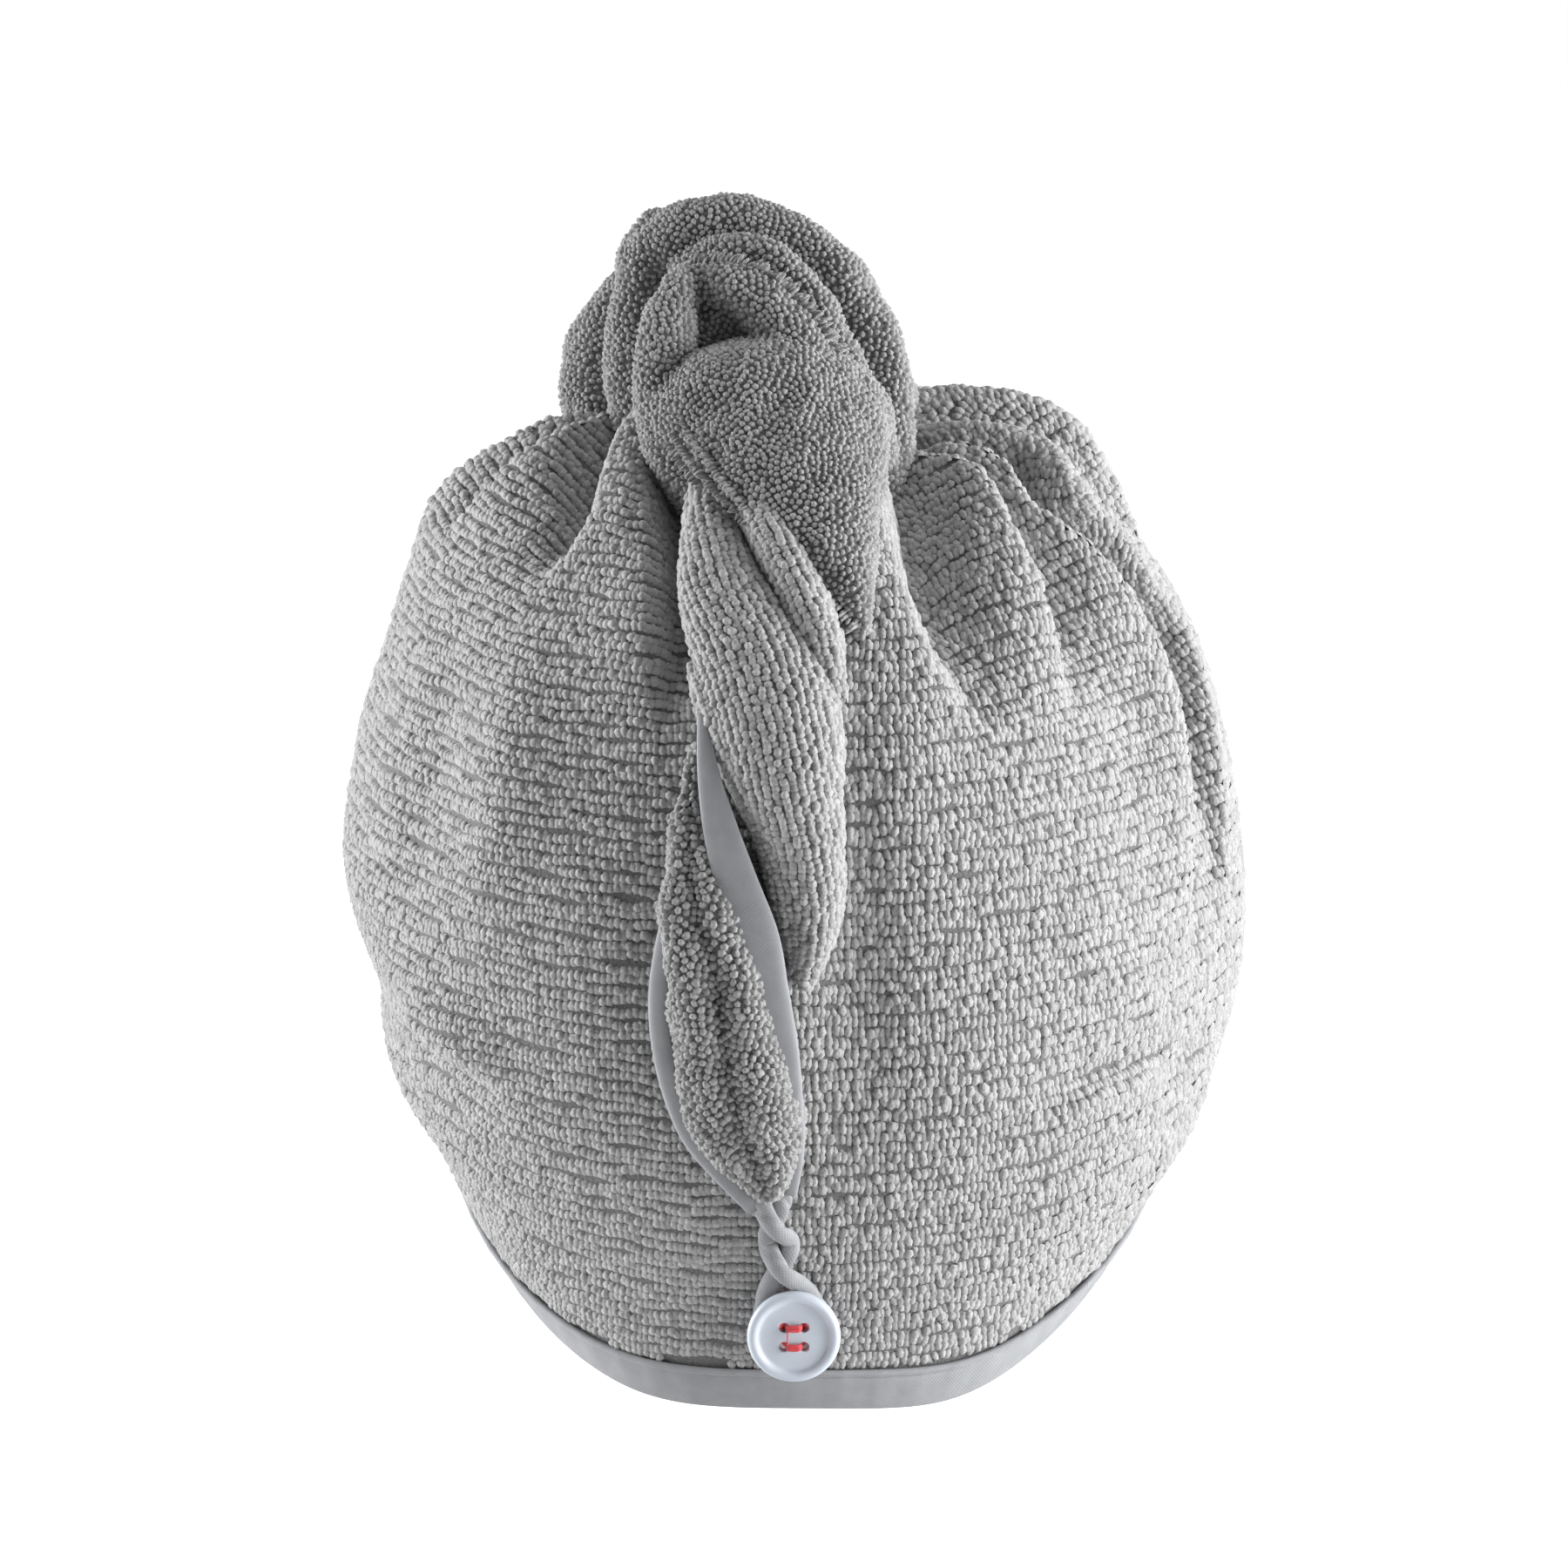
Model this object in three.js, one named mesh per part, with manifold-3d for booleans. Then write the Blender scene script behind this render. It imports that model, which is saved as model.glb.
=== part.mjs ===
// Hair turban towel, worn: a pleated terry hood, a knot on the crown, and a twisted tail that comes
// down the back and is hooked by its cord loop over a button at the nape.
// Millimetres, +Z up, -Y is the back of the head, +X is the wearer's right.
// The origin is inside the crown, where the head bears.
import * as THREE from 'three';
import { mergeVertices } from 'three/addons/utils/BufferGeometryUtils.js';
import Module from 'manifold-3d';

const wasm = await Module();
wasm.setup();

// Driving sizes
const hood = {
  width: 213, // across the ears
  depth: 210, // brow to the back of the head
  napeDrop: 220, // origin down to the hem at the nape
  browDrop: 72, // origin down to the hem at the brow
  cloth: 3, // terry with the pile of both faces
  pleat: 8, // deepest fold
  hemWave: 3, // how far the hem sags
};
const band = {
  leaf: 1.2, // smooth binding cloth
  height: 9.5, // how far it reaches up the hood's edge
};
const knot = {
  width: 70,
  depth: 80,
  height: 60, // above the origin
  right: -8, // middle, from the head's middle plane
  front: -12, // middle, from the origin towards the brow
  roll: 15, // width of a roll of towel in the knot
};
const tail = {
  width: 50,
  top: 10, // height where its lobes leave the knot
  right: 0, // middle, from the head's middle plane
  thick: 22, // where it is fullest
};
const binding = {
  width: 9.8, // where the strip shows full
  thick: 2.4, // doubled smooth cloth
};
const button = {
  diameter: 21.6,
  thick: 3.4, // at the rim
  rimWidth: 2.6,
  dish: 0.9, // how far the face lies below the rim
  aboveHem: 25, // nape hem up to its centre
  right: 1.1, // from the head's middle plane
  standoff: 8, // cloth to the middle of the button's back
  tilt: 18, // degrees that the loop under its upper edge turns it up from the cloth
  holeDiameter: 2.4,
  holeSpacing: 4.6,
};
const thread = {
  diameter: 1.5,
  shankDiameter: 7.6, // wound threads behind the button
};
const cord = {
  reach: 39, // tail's tip down to the button's shank
  width: 4.6,
  thick: 3.2,
  lift: 1.9, // centre of a strand off the cloth
};
const gap = 0.3; // between pieces that touch
const buttonDrop = hood.napeDrop - button.aboveHem;
const cordRoot = 0.965; // share of the tail's length at which the cord comes out of its tip
const tailLength = (buttonDrop - cord.reach + tail.top) / cordRoot;
const crumb = 40; // cubic millimetres: less than this is no piece of towel
const meridian = hood.napeDrop * 1.25; // the hood's length up the back, hem to collar

// The shell's rings, from the hem at level 0 to the gathered collar at level 1. Drops are shares of
// the nape and brow drops, back and front of half the depth, left and right of half the width.
const hoodRings = table(
  ['level', 'backDrop', 'frontDrop', 'back', 'front', 'left', 'right', 'sag'],
  [
    [0.0, 1.0, 1.0, 0.76, 0.857, 0.751, 0.789, 1.35],
    [0.08, 0.9, 0.861, 0.845, 0.914, 0.864, 0.892, 1.33],
    [0.18, 0.795, 0.694, 0.92, 0.962, 0.939, 0.967, 1.3],
    [0.3, 0.668, 0.528, 0.981, 0.99, 1.0, 1.0, 1.2],
    [0.42, 0.527, 0.375, 1.01, 0.99, 0.99, 0.995, 1.1],
    [0.54, 0.382, 0.236, 0.99, 0.962, 0.939, 0.939, 1.0],
    [0.65, 0.255, 0.111, 0.914, 0.905, 0.883, 0.854, 1.0],
    [0.75, 0.145, 0.014, 0.781, 0.819, 0.817, 0.775, 1.0],
    [0.84, 0.059, -0.069, 0.61, 0.714, 0.667, 0.695, 1.0],
    [0.91, 0.004, -0.125, 0.438, 0.61, 0.516, 0.6, 1.0],
    [0.96, -0.027, -0.167, 0.314, 0.495, 0.376, 0.46, 1.0],
    [1.0, -0.041, -0.181, 0.162, 0.343, 0.235, 0.254, 1.0],
  ],
);

// Creases that run down the shell from the collar: at each level of its path a crease has an azimuth
// (degrees from the back, positive to the wearer's right). Depth is a share of the deepest fold,
// width (half of it) a share of the hood's width. A lip stands beside it, negative on the side of
// smaller azimuths.
const creases = table(
  ['depth', 'width', 'lip', 'path'],
  [
    [0.75, 0.028, -0.45, [[1, 22], [0.87, 24], [0.8, 24], [0.735, 26], [0.66, 30]]],
    [0.85, 0.03, -0.55, [[1, 32], [0.94, 39], [0.9, 44], [0.8, 48], [0.72, 50], [0.65, 48]]],
    [1.0, 0.036, -0.6, [[1, 48], [0.92, 56], [0.83, 59], [0.74, 66], [0.62, 71], [0.5, 67], [0.33, 61]]],
    [0.6, 0.034, 0.4, [[1, 74], [0.9, 80], [0.78, 86], [0.62, 90]]],
    [0.9, 0.03, 0.5, [[1, -40], [0.93, -48], [0.88, -45], [0.83, -42], [0.76, -47]]],
    [0.8, 0.032, 0.55, [[1, -58], [0.95, -65], [0.9, -65], [0.83, -70], [0.76, -80]]],
    [0.55, 0.03, -0.35, [[1, -22], [0.88, -26], [0.82, -21], [0.75, -18], [0.66, -18]]],
    [0.5, 0.03, 0.4, [[1, -82], [0.9, -88], [0.78, -96], [0.68, -104]]],
  ].map((row) => [...row.slice(0, 3), table(['level', 'azimuth'], row[3]).reverse()]),
);
// Shallow creases that run across it, low on the back, with a level at each azimuth of their paths
const crossCreases = table(
  ['depth', 'width', 'lip', 'path'],
  [
    [0.3, 0.03, 0.3, [[-66, 0.267], [-57, 0.275], [-48, 0.28], [-36, 0.283]]],
    [0.22, 0.03, -0.25, [[28, 0.311], [41, 0.3], [58, 0.269]]],
  ].map((row) => [...row.slice(0, 3), table(['azimuth', 'level'], row[3])]),
);
// Plain pleats over the brow, from the collar down to the level that they reach
const frontPleats = { first: 99, last: 261, count: 10, depth: 0.75, width: 0.03, reach: 0.5 };
const hemSags = table(
  ['azimuth', 'spread', 'depth'],
  [
    [-26, 15, 0.5],
    [27, 15, 1.0],
  ],
);

// Rolls of the knot. Places are shares of the knot's width, depth and height from its middle and the
// origin's level, across positive to the right, along negative to the back. Wide and thick are
// shares of one roll's width.
const rollColumns = ['across', 'along', 'up', 'wide', 'thick'];
const knotRolls = [
  table(rollColumns, [
    [-0.38, 0.06, 0.74, 0.8, 0.8],
    [-0.24, 0.05, 0.85, 1.0, 1.0],
    [-0.05, 0.03, 0.87, 1.05, 1.05],
    [0.13, -0.02, 0.8, 1.0, 1.0],
    [0.28, -0.08, 0.68, 0.9, 1.0],
    [0.38, -0.13, 0.48, 0.8, 1.0],
    [0.43, -0.18, 0.28, 0.75, 1.0],
    [0.44, -0.23, 0.08, 0.75, 1.0],
    [0.42, -0.28, -0.12, 0.7, 0.8],
  ]),
  table(rollColumns, [
    [-0.24, -0.03, 0.7, 0.5, 0.6],
    [-0.1, -0.08, 0.77, 0.62, 0.8],
    [0.03, -0.12, 0.74, 0.66, 0.9],
    [0.16, -0.18, 0.63, 0.66, 0.9],
    [0.26, -0.23, 0.43, 0.62, 0.9],
    [0.35, -0.28, 0.23, 0.6, 0.9],
    [0.41, -0.33, 0.03, 0.6, 0.8],
  ]),
  table(rollColumns, [
    [-0.22, -0.14, 0.68, 0.5, 0.6],
    [-0.08, -0.2, 0.66, 0.85, 0.9],
    [0.06, -0.26, 0.56, 1.0, 1.0],
    [0.16, -0.31, 0.43, 1.0, 1.0],
    [0.23, -0.35, 0.29, 0.8, 0.9],
  ]),
  table(rollColumns, [
    [-0.25, -0.2, 0.66, 0.6, 0.7],
    [-0.29, -0.28, 0.5, 0.85, 0.9],
    [-0.3, -0.36, 0.28, 0.9, 1.0],
    [-0.26, -0.43, 0.06, 0.95, 1.0],
    [-0.18, -0.5, -0.12, 0.8, 0.8],
  ]),
  table(rollColumns, [
    [-0.38, 0.14, 0.86, 0.6, 0.7],
    [-0.44, 0.1, 0.76, 0.8, 0.9],
    [-0.46, 0.06, 0.6, 0.85, 1.0],
    [-0.46, 0.03, 0.43, 0.9, 1.0],
    [-0.42, -0.05, 0.23, 0.9, 1.0],
    [-0.36, -0.14, 0.04, 0.8, 0.8],
  ]),
  // the twist's strands, as they rise from the pleats over the brow
  table(rollColumns, [
    [-0.48, 0.28, -0.06, 1.2, 1.2],
    [-0.54, 0.34, 0.14, 1.35, 1.3],
    [-0.52, 0.42, 0.34, 1.3, 1.3],
    [-0.4, 0.46, 0.54, 1.2, 1.2],
    [-0.22, 0.38, 0.7, 1.0, 1.1],
    [-0.04, 0.24, 0.76, 0.6, 0.7],
  ]),
  table(rollColumns, [
    [-0.4, 0.6, -0.1, 1.2, 1.2],
    [-0.28, 0.66, 0.16, 1.35, 1.3],
    [-0.1, 0.62, 0.4, 1.35, 1.3],
    [0.1, 0.48, 0.58, 1.25, 1.2],
    [0.22, 0.28, 0.66, 1.0, 1.1],
    [0.26, 0.06, 0.64, 0.6, 0.7],
  ]),
  table(rollColumns, [
    [-0.08, 0.72, -0.1, 1.2, 1.2],
    [0.08, 0.68, 0.14, 1.35, 1.3],
    [0.25, 0.54, 0.32, 1.3, 1.3],
    [0.36, 0.32, 0.42, 1.15, 1.2],
    [0.38, 0.06, 0.42, 0.8, 0.8],
  ]),
  table(rollColumns, [
    [0.22, 0.58, -0.1, 1.1, 1.1],
    [0.34, 0.46, 0.06, 1.2, 1.2],
    [0.42, 0.26, 0.16, 1.15, 1.2],
    [0.43, 0.02, 0.18, 0.9, 1.0],
    [0.4, -0.16, 0.14, 0.5, 0.6],
  ]),
];
// Round masses of the knot, with their half sizes as the same shares
const knotMasses = table(
  ['across', 'along', 'up', 'halfAcross', 'halfAlong', 'halfUp'],
  [
    [-0.02, 0.14, 0.32, 0.42, 0.46, 0.46],
    [0.04, -0.36, 0.16, 0.42, 0.28, 0.32],
  ],
);

// Lobes of the tail, laid on the shell. Across is a share of half the tail's width, down of its
// length, lift (of a lobe's centre off the shell) and thick of its thickness, wide of its width.
const lobeColumns = ['across', 'down', 'lift', 'wide', 'thick'];
// The long-piled lobe that ends the knot
const knotLobe = table(lobeColumns, [
  [-0.3, -0.02, 0.5, 0.8, 1.0],
  [-0.08, 0.06, 0.5, 0.98, 1.1],
  [0.1, 0.11, 0.46, 0.84, 1.0],
  [0.26, 0.155, 0.42, 0.6, 0.9],
  [0.42, 0.2, 0.38, 0.36, 0.75],
  [0.56, 0.24, 0.32, 0.18, 0.5],
  [0.64, 0.262, 0.28, 0.08, 0.3],
]);
const twistLobes = [
  // the narrow fold beside it
  table(lobeColumns, [
    [-0.3, 0.1, 0.3, 0.16, 0.6],
    [-0.1, 0.15, 0.34, 0.22, 0.7],
    [0.16, 0.21, 0.34, 0.24, 0.7],
    [0.38, 0.28, 0.3, 0.22, 0.6],
    [0.47, 0.345, 0.24, 0.1, 0.4],
  ]),
  // the main ribbed lobe
  table(lobeColumns, [
    [-0.72, 0.11, 0.22, 0.18, 0.5],
    [-0.68, 0.15, 0.28, 0.28, 0.6],
    [-0.5, 0.22, 0.32, 0.5, 0.75],
    [-0.18, 0.3, 0.34, 0.66, 0.85],
    [-0.07, 0.39, 0.34, 0.56, 0.85],
    [0.06, 0.475, 0.32, 0.42, 0.75],
    [0.16, 0.54, 0.28, 0.33, 0.66],
    [0.21, 0.61, 0.22, 0.25, 0.55],
    [0.18, 0.66, 0.18, 0.16, 0.45],
    [0.14, 0.7, 0.12, 0.06, 0.25],
  ]),
  // the fold along its lower edge
  table(lobeColumns, [
    [-0.78, 0.31, 0.2, 0.1, 0.4],
    [-0.62, 0.37, 0.26, 0.16, 0.55],
    [-0.36, 0.44, 0.26, 0.18, 0.6],
    [-0.1, 0.52, 0.24, 0.18, 0.55],
    [0.02, 0.6, 0.2, 0.16, 0.45],
    [0.08, 0.665, 0.14, 0.08, 0.3],
  ]),
];
const endLobe = table(lobeColumns, [
  [-0.8, 0.405, 0.16, 0.05, 0.25],
  [-0.82, 0.48, 0.2, 0.13, 0.45],
  [-0.8, 0.55, 0.24, 0.24, 0.6],
  [-0.71, 0.625, 0.26, 0.35, 0.72],
  [-0.6, 0.685, 0.27, 0.41, 0.78],
  [-0.54, 0.75, 0.27, 0.44, 0.8],
  [-0.45, 0.825, 0.26, 0.47, 0.76],
  [-0.36, 0.89, 0.24, 0.46, 0.7],
  [-0.27, 0.935, 0.2, 0.32, 0.6],
  [-0.2, 0.965, 0.18, 0.18, 0.5],
  [-0.19, 0.98, 0.16, 0.1, 0.4],
]);
// Strips of binding, laid the same way, but wide and thick are shares of the binding's own sizes
const innerStrip = table(lobeColumns, [
  [-0.69, 0.37, 0.42, 0.3, 1.0],
  [-0.6, 0.435, 0.5, 0.5, 1.0],
  [-0.48, 0.5, 0.52, 0.8, 1.0],
  [-0.34, 0.57, 0.5, 1.0, 1.0],
  [-0.16, 0.635, 0.48, 0.96, 1.0],
  [-0.06, 0.705, 0.44, 0.77, 1.0],
  [0.02, 0.775, 0.4, 0.64, 1.0],
  [0.07, 0.85, 0.34, 0.5, 1.0],
  [0.07, 0.93, 0.26, 0.38, 1.0],
  [0.02, 0.985, 0.18, 0.3, 1.0],
]);
const outerStrip = table(lobeColumns, [
  [-1.02, 0.6, 0.16, 0.3, 1.0],
  [-1.14, 0.67, 0.16, 0.5, 1.2],
  [-1.19, 0.73, 0.16, 0.52, 1.3],
  [-1.14, 0.8, 0.16, 0.52, 1.3],
  [-1.04, 0.855, 0.16, 0.52, 1.3],
  [-0.84, 0.915, 0.16, 0.5, 1.3],
  [-0.56, 0.965, 0.16, 0.48, 1.3],
  [-0.3, 1.01, 0.14, 0.42, 1.2],
]);

function table(columns, rows) {
  return rows.map((row) => Object.fromEntries(columns.map((name, i) => [name, row[i]])));
}

// Smooth curve through a table's column, by the values of another column
function along(rows, key, column, at) {
  const last = rows.length - 1;
  const slope = (i) => (rows[i + 1][column] - rows[i][column]) / (rows[i + 1][key] - rows[i][key]);
  const tangent = (i) => {
    if (i === 0) return slope(0);
    if (i === last) return slope(last - 1);
    const before = rows[i][key] - rows[i - 1][key];
    const after = rows[i + 1][key] - rows[i][key];
    return (slope(i - 1) * after + slope(i) * before) / (before + after);
  };
  let i = 0;
  while (i < last - 1 && at >= rows[i + 1][key]) i += 1;
  const step = rows[i + 1][key] - rows[i][key];
  const u = (at - rows[i][key]) / step;
  const u2 = u * u;
  const u3 = u2 * u;
  return (
    (2 * u3 - 3 * u2 + 1) * rows[i][column] +
    (u3 - 2 * u2 + u) * step * tangent(i) +
    (3 * u2 - 2 * u3) * rows[i + 1][column] +
    (u3 - u2) * step * tangent(i + 1)
  );
}

const smooth = THREE.MathUtils.smoothstep;
const radians = THREE.MathUtils.degToRad;
const hoodRing = (level, column) => along(hoodRings, 'level', column, level);

// The shell's unfolded surface, at an azimuth in degrees and a level
function shellPoint(azimuth, level) {
  const turn = radians(azimuth);
  const front = (1 - Math.cos(turn)) / 2;
  const side = Math.sin(turn) > 0 ? 'right' : 'left';
  const yBack = (-hoodRing(level, 'back') * hood.depth) / 2;
  const yFront = (hoodRing(level, 'front') * hood.depth) / 2;
  const zBack = -hoodRing(level, 'backDrop') * hood.napeDrop;
  const zFront = -hoodRing(level, 'frontDrop') * hood.browDrop;
  const sagged = front ** hoodRing(level, 'sag');
  return new THREE.Vector3(
    (hoodRing(level, side) * hood.width * Math.sin(turn)) / 2,
    (yBack + yFront) / 2 - ((yFront - yBack) * Math.cos(turn)) / 2,
    zBack + (zFront - zBack) * sagged - hemSag(azimuth, level),
  );
}

function hemSag(azimuth, level) {
  const reach = 1 - smooth(level, 0, 0.16);
  let drop = 0;
  for (const sag of hemSags) {
    drop += sag.depth * Math.exp(-(((azimuth - sag.azimuth) / sag.spread) ** 2));
  }
  return drop * reach * hood.hemWave;
}

function shellNormal(azimuth, level) {
  const turn = 0.5;
  const climb = 0.004;
  const low = Math.max(level - climb, 0);
  const high = Math.min(level + climb, 1);
  const around = shellPoint(azimuth + turn, level).sub(shellPoint(azimuth - turn, level));
  const upward = shellPoint(azimuth, high).sub(shellPoint(azimuth, low));
  return around.cross(upward).normalize();
}

// The height of a crease and its lip, by the distance across it. The lip's middle and its spread
// are in half widths of the crease.
function creaseHeight(crease, across) {
  const lipAt = 1.9 * Math.sign(crease.lip);
  const lipSpread = 1.5;
  const offset = across / (crease.width * hood.width);
  const valley = crease.depth * Math.exp(-(offset ** 2));
  return Math.abs(crease.lip) * Math.exp(-(((offset - lipAt) / lipSpread) ** 2)) - valley;
}

const pathShare = (path, key, at) => (at - path[0][key]) / (path[path.length - 1][key] - path[0][key]);
const wrapped = (angle) => THREE.MathUtils.euclideanModulo(angle + 180, 360) - 180;

// How far the cloth stands out of the unfolded surface: creases with their lips, and pleats
function foldHeight(azimuth, level) {
  const radius = (hoodRing(level, 'left') + hoodRing(level, 'right')) * hood.width * 0.25;
  let height = 0;
  for (const crease of creases) {
    const share = pathShare(crease.path, 'level', level);
    if (share < 0) continue;
    const away = radians(wrapped(azimuth - along(crease.path, 'level', 'azimuth', level))) * radius;
    height += creaseHeight(crease, away) * smooth(share, 0, 0.45);
  }
  for (const crease of crossCreases) {
    const share = pathShare(crease.path, 'azimuth', wrapped(azimuth));
    if (share < 0 || share > 1) continue;
    const away = (level - along(crease.path, 'azimuth', 'level', wrapped(azimuth))) * meridian;
    height += creaseHeight(crease, away) * smooth(share, 0, 0.4) * (1 - smooth(share, 0.6, 1));
  }
  const spacing = (frontPleats.last - frontPleats.first) / (frontPleats.count - 1);
  for (let i = 0; i < frontPleats.count; i += 1) {
    const away = radians(wrapped(azimuth - frontPleats.first - i * spacing)) * radius;
    const valley = Math.exp(-((away / (frontPleats.width * hood.width)) ** 2));
    height -= frontPleats.depth * valley * smooth(level, frontPleats.reach, 0.96);
  }
  return height * hood.pleat;
}

// A place on the folded shell, moved off the cloth's outer face
function clothPoint(azimuth, level, off) {
  const outward = shellNormal(azimuth, level);
  return shellPoint(azimuth, level).addScaledVector(outward, foldHeight(azimuth, level) + off);
}

// The place on the unfolded shell's back that has this x and z, with its outward normal
function backPlace(x, z) {
  let low = 0;
  let high = 1;
  let azimuth = 0;
  for (let i = 0; i < 24; i += 1) {
    const level = (low + high) / 2;
    const half = (hoodRing(level, x > 0 ? 'right' : 'left') * hood.width) / 2;
    azimuth = THREE.MathUtils.radToDeg(Math.asin(THREE.MathUtils.clamp(x / half, -1, 1)));
    if (shellPoint(azimuth, level).z < z) low = level;
    else high = level;
  }
  return { point: shellPoint(azimuth, low), normal: shellNormal(azimuth, low) };
}

// A closed solid through rings of points, either capped at its ends or joined back to its first ring
function loft(rings, looped = false) {
  const around = rings[0].length;
  const positions = rings.flat().flatMap((p) => [p.x, p.y, p.z]);
  const faces = [];
  const last = looped ? rings.length : rings.length - 1;
  for (let i = 0; i < last; i += 1) {
    const next = (i + 1) % rings.length;
    for (let j = 0; j < around; j += 1) {
      const k = (j + 1) % around;
      const [a, b, c, d] = [i * around + j, i * around + k, next * around + k, next * around + j];
      faces.push(a, b, c, a, c, d);
    }
  }
  if (!looped) {
    for (const [ring, flip] of [[0, true], [rings.length - 1, false]]) {
      const middle = new THREE.Vector3();
      for (const p of rings[ring]) middle.addScaledVector(p, 1 / around);
      const centre = positions.length / 3;
      positions.push(middle.x, middle.y, middle.z);
      for (let j = 0; j < around; j += 1) {
        const a = ring * around + j;
        const b = ring * around + ((j + 1) % around);
        faces.push(centre, ...(flip ? [b, a] : [a, b]));
      }
    }
  }
  return outwards(positions, faces);
}

// Makes a manifold solid, turned inside out first if its faces look inwards
function outwards(positions, faces) {
  const at = (i) => new THREE.Vector3().fromArray(positions, faces[i] * 3);
  let volume = 0;
  for (let i = 0; i < faces.length; i += 3) volume += at(i).dot(at(i + 1).cross(at(i + 2)));
  const triVerts = new Uint32Array(faces);
  if (volume < 0) triVerts.reverse();
  const mesh = new wasm.Mesh({ numProp: 3, vertProperties: new Float32Array(positions), triVerts });
  mesh.merge();
  return new wasm.Manifold(mesh);
}

function solidOf(geometry) {
  geometry.deleteAttribute('normal');
  geometry.deleteAttribute('uv');
  const merged = mergeVertices(geometry);
  return outwards(Array.from(merged.attributes.position.array), Array.from(merged.index.array));
}

// The solid without sealed pockets between its rolls, and without crumbs that a cut left loose
function sound(solid) {
  const { vertProperties, triVerts, numProp } = solid.getMesh();
  const owner = Array.from({ length: vertProperties.length / numProp }, (_, i) => i);
  const root = (i) => {
    while (owner[i] !== i) i = owner[i] = owner[owner[i]];
    return i;
  };
  for (let i = 0; i < triVerts.length; i += 3) {
    owner[root(triVerts[i])] = root(triVerts[i + 1]);
    owner[root(triVerts[i + 1])] = root(triVerts[i + 2]);
  }
  const at = (i) => new THREE.Vector3().fromArray(vertProperties, i * numProp);
  const shells = new Map();
  for (let i = 0; i < triVerts.length; i += 3) {
    const [a, b, c] = triVerts.subarray(i, i + 3);
    const shell = shells.get(root(a)) ?? { volume: 0, faces: [] };
    shell.volume += at(a).dot(at(b).cross(at(c))) / 6;
    shell.faces.push(a, b, c);
    shells.set(root(a), shell);
  }
  const kept = [...shells.values()].filter((shell) => shell.volume > crumb);
  const positions = owner.flatMap((_, i) => at(i).toArray());
  return outwards(positions, kept.flatMap((shell) => shell.faces));
}

// A padded strand through stations, each with its centre, outward direction and half sizes
function strand(stations, sides, grow) {
  const rings = stations.map((station, i) => {
    const before = stations[Math.max(i - 1, 0)].centre;
    const after = stations[Math.min(i + 1, stations.length - 1)].centre;
    const run = after.clone().sub(before).normalize();
    const across = run.clone().cross(station.out).normalize();
    const out = across.clone().cross(run).normalize();
    const ring = [];
    for (let j = 0; j < sides; j += 1) {
      const turn = (j / sides) * 2 * Math.PI;
      const point = station.centre.clone();
      point.addScaledVector(across, (station.halfWide + grow) * Math.cos(turn));
      ring.push(point.addScaledVector(out, (station.halfThick + grow) * Math.sin(turn)));
    }
    return ring;
  });
  return loft(rings);
}

function knotPlace(row) {
  return new THREE.Vector3(
    knot.right + row.across * knot.width,
    knot.front + row.along * knot.depth,
    row.up * knot.height,
  );
}

function knotSolid(grow) {
  const heart = new THREE.Vector3(knot.right, knot.front, knot.height * 0.3);
  const rolls = knotRolls.map((rows) => {
    const stations = rows.map((row) => {
      const centre = knotPlace(row);
      const out = centre.clone().sub(heart).normalize();
      return { centre, out, halfWide: (row.wide * knot.roll) / 2, halfThick: (row.thick * knot.roll) / 2 };
    });
    return strand(stations, 8, grow);
  });
  const masses = knotMasses.map((row) => {
    const ball = new THREE.SphereGeometry(1, 16, 10);
    ball.rotateX(Math.PI / 2);
    ball.scale(
      row.halfAcross * knot.width + grow,
      row.halfAlong * knot.depth + grow,
      row.halfUp * knot.height + grow,
    );
    ball.translate(...knotPlace(row).toArray());
    return solidOf(ball);
  });
  return wasm.Manifold.union([...rolls, ...masses, lobe(knotLobe, grow)]);
}

// Stations of a lobe or strip laid on the shell's back
function laid(rows, wide, thick) {
  return rows.map((row) => {
    const place = backPlace(tail.right + (row.across * tail.width) / 2, tail.top - row.down * tailLength);
    const centre = place.point.addScaledVector(place.normal, row.lift * tail.thick);
    return { centre, out: place.normal, halfWide: (row.wide * wide) / 2, halfThick: (row.thick * thick) / 2 };
  });
}
const lobe = (rows, grow, sides = 12) => strand(laid(rows, tail.width, tail.thick), sides, grow);
const strip = (rows, grow) => strand(laid(rows, binding.width, binding.thick), 8, grow);

// The shell's grid: finer azimuths at the back, where the tail and the long folds are
const azimuths = [];
for (let a = -90; a < 90; a += 4) azimuths.push(a);
for (let a = 90; a < 270; a += 9) azimuths.push(a);
const bandLevel = band.height / meridian;
const levels = [0, bandLevel, 0.1, 0.19, 0.29, 0.39, 0.49, 0.58, 0.65];
levels.push(0.71, 0.765, 0.81, 0.85, 0.89, 0.925, 0.96, 1);

const clothRing = (level, off) => azimuths.map((azimuth) => clothPoint(azimuth, level, off));

function hoodShell() {
  const outer = levels.map((level) => clothRing(level, 0));
  const inner = levels.map((level) => clothRing(level, -hood.cloth)).reverse();
  return loft([...outer, ...inner], true);
}

// The space that the hood and its hollow take up, for trimming what lies on the hood
function hoodFilled(grow) {
  return loft(levels.map((level) => clothRing(level, grow)));
}

// Rings that stand past the hood's lower edge by a distance, level with a place off its outer face
function edgeRing(off, past) {
  return azimuths.map((azimuth) => {
    const edge = clothPoint(azimuth, 0, off);
    const down = edge.clone().sub(clothPoint(azimuth, bandLevel, off)).normalize();
    return edge.addScaledVector(down, past);
  });
}

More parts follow.
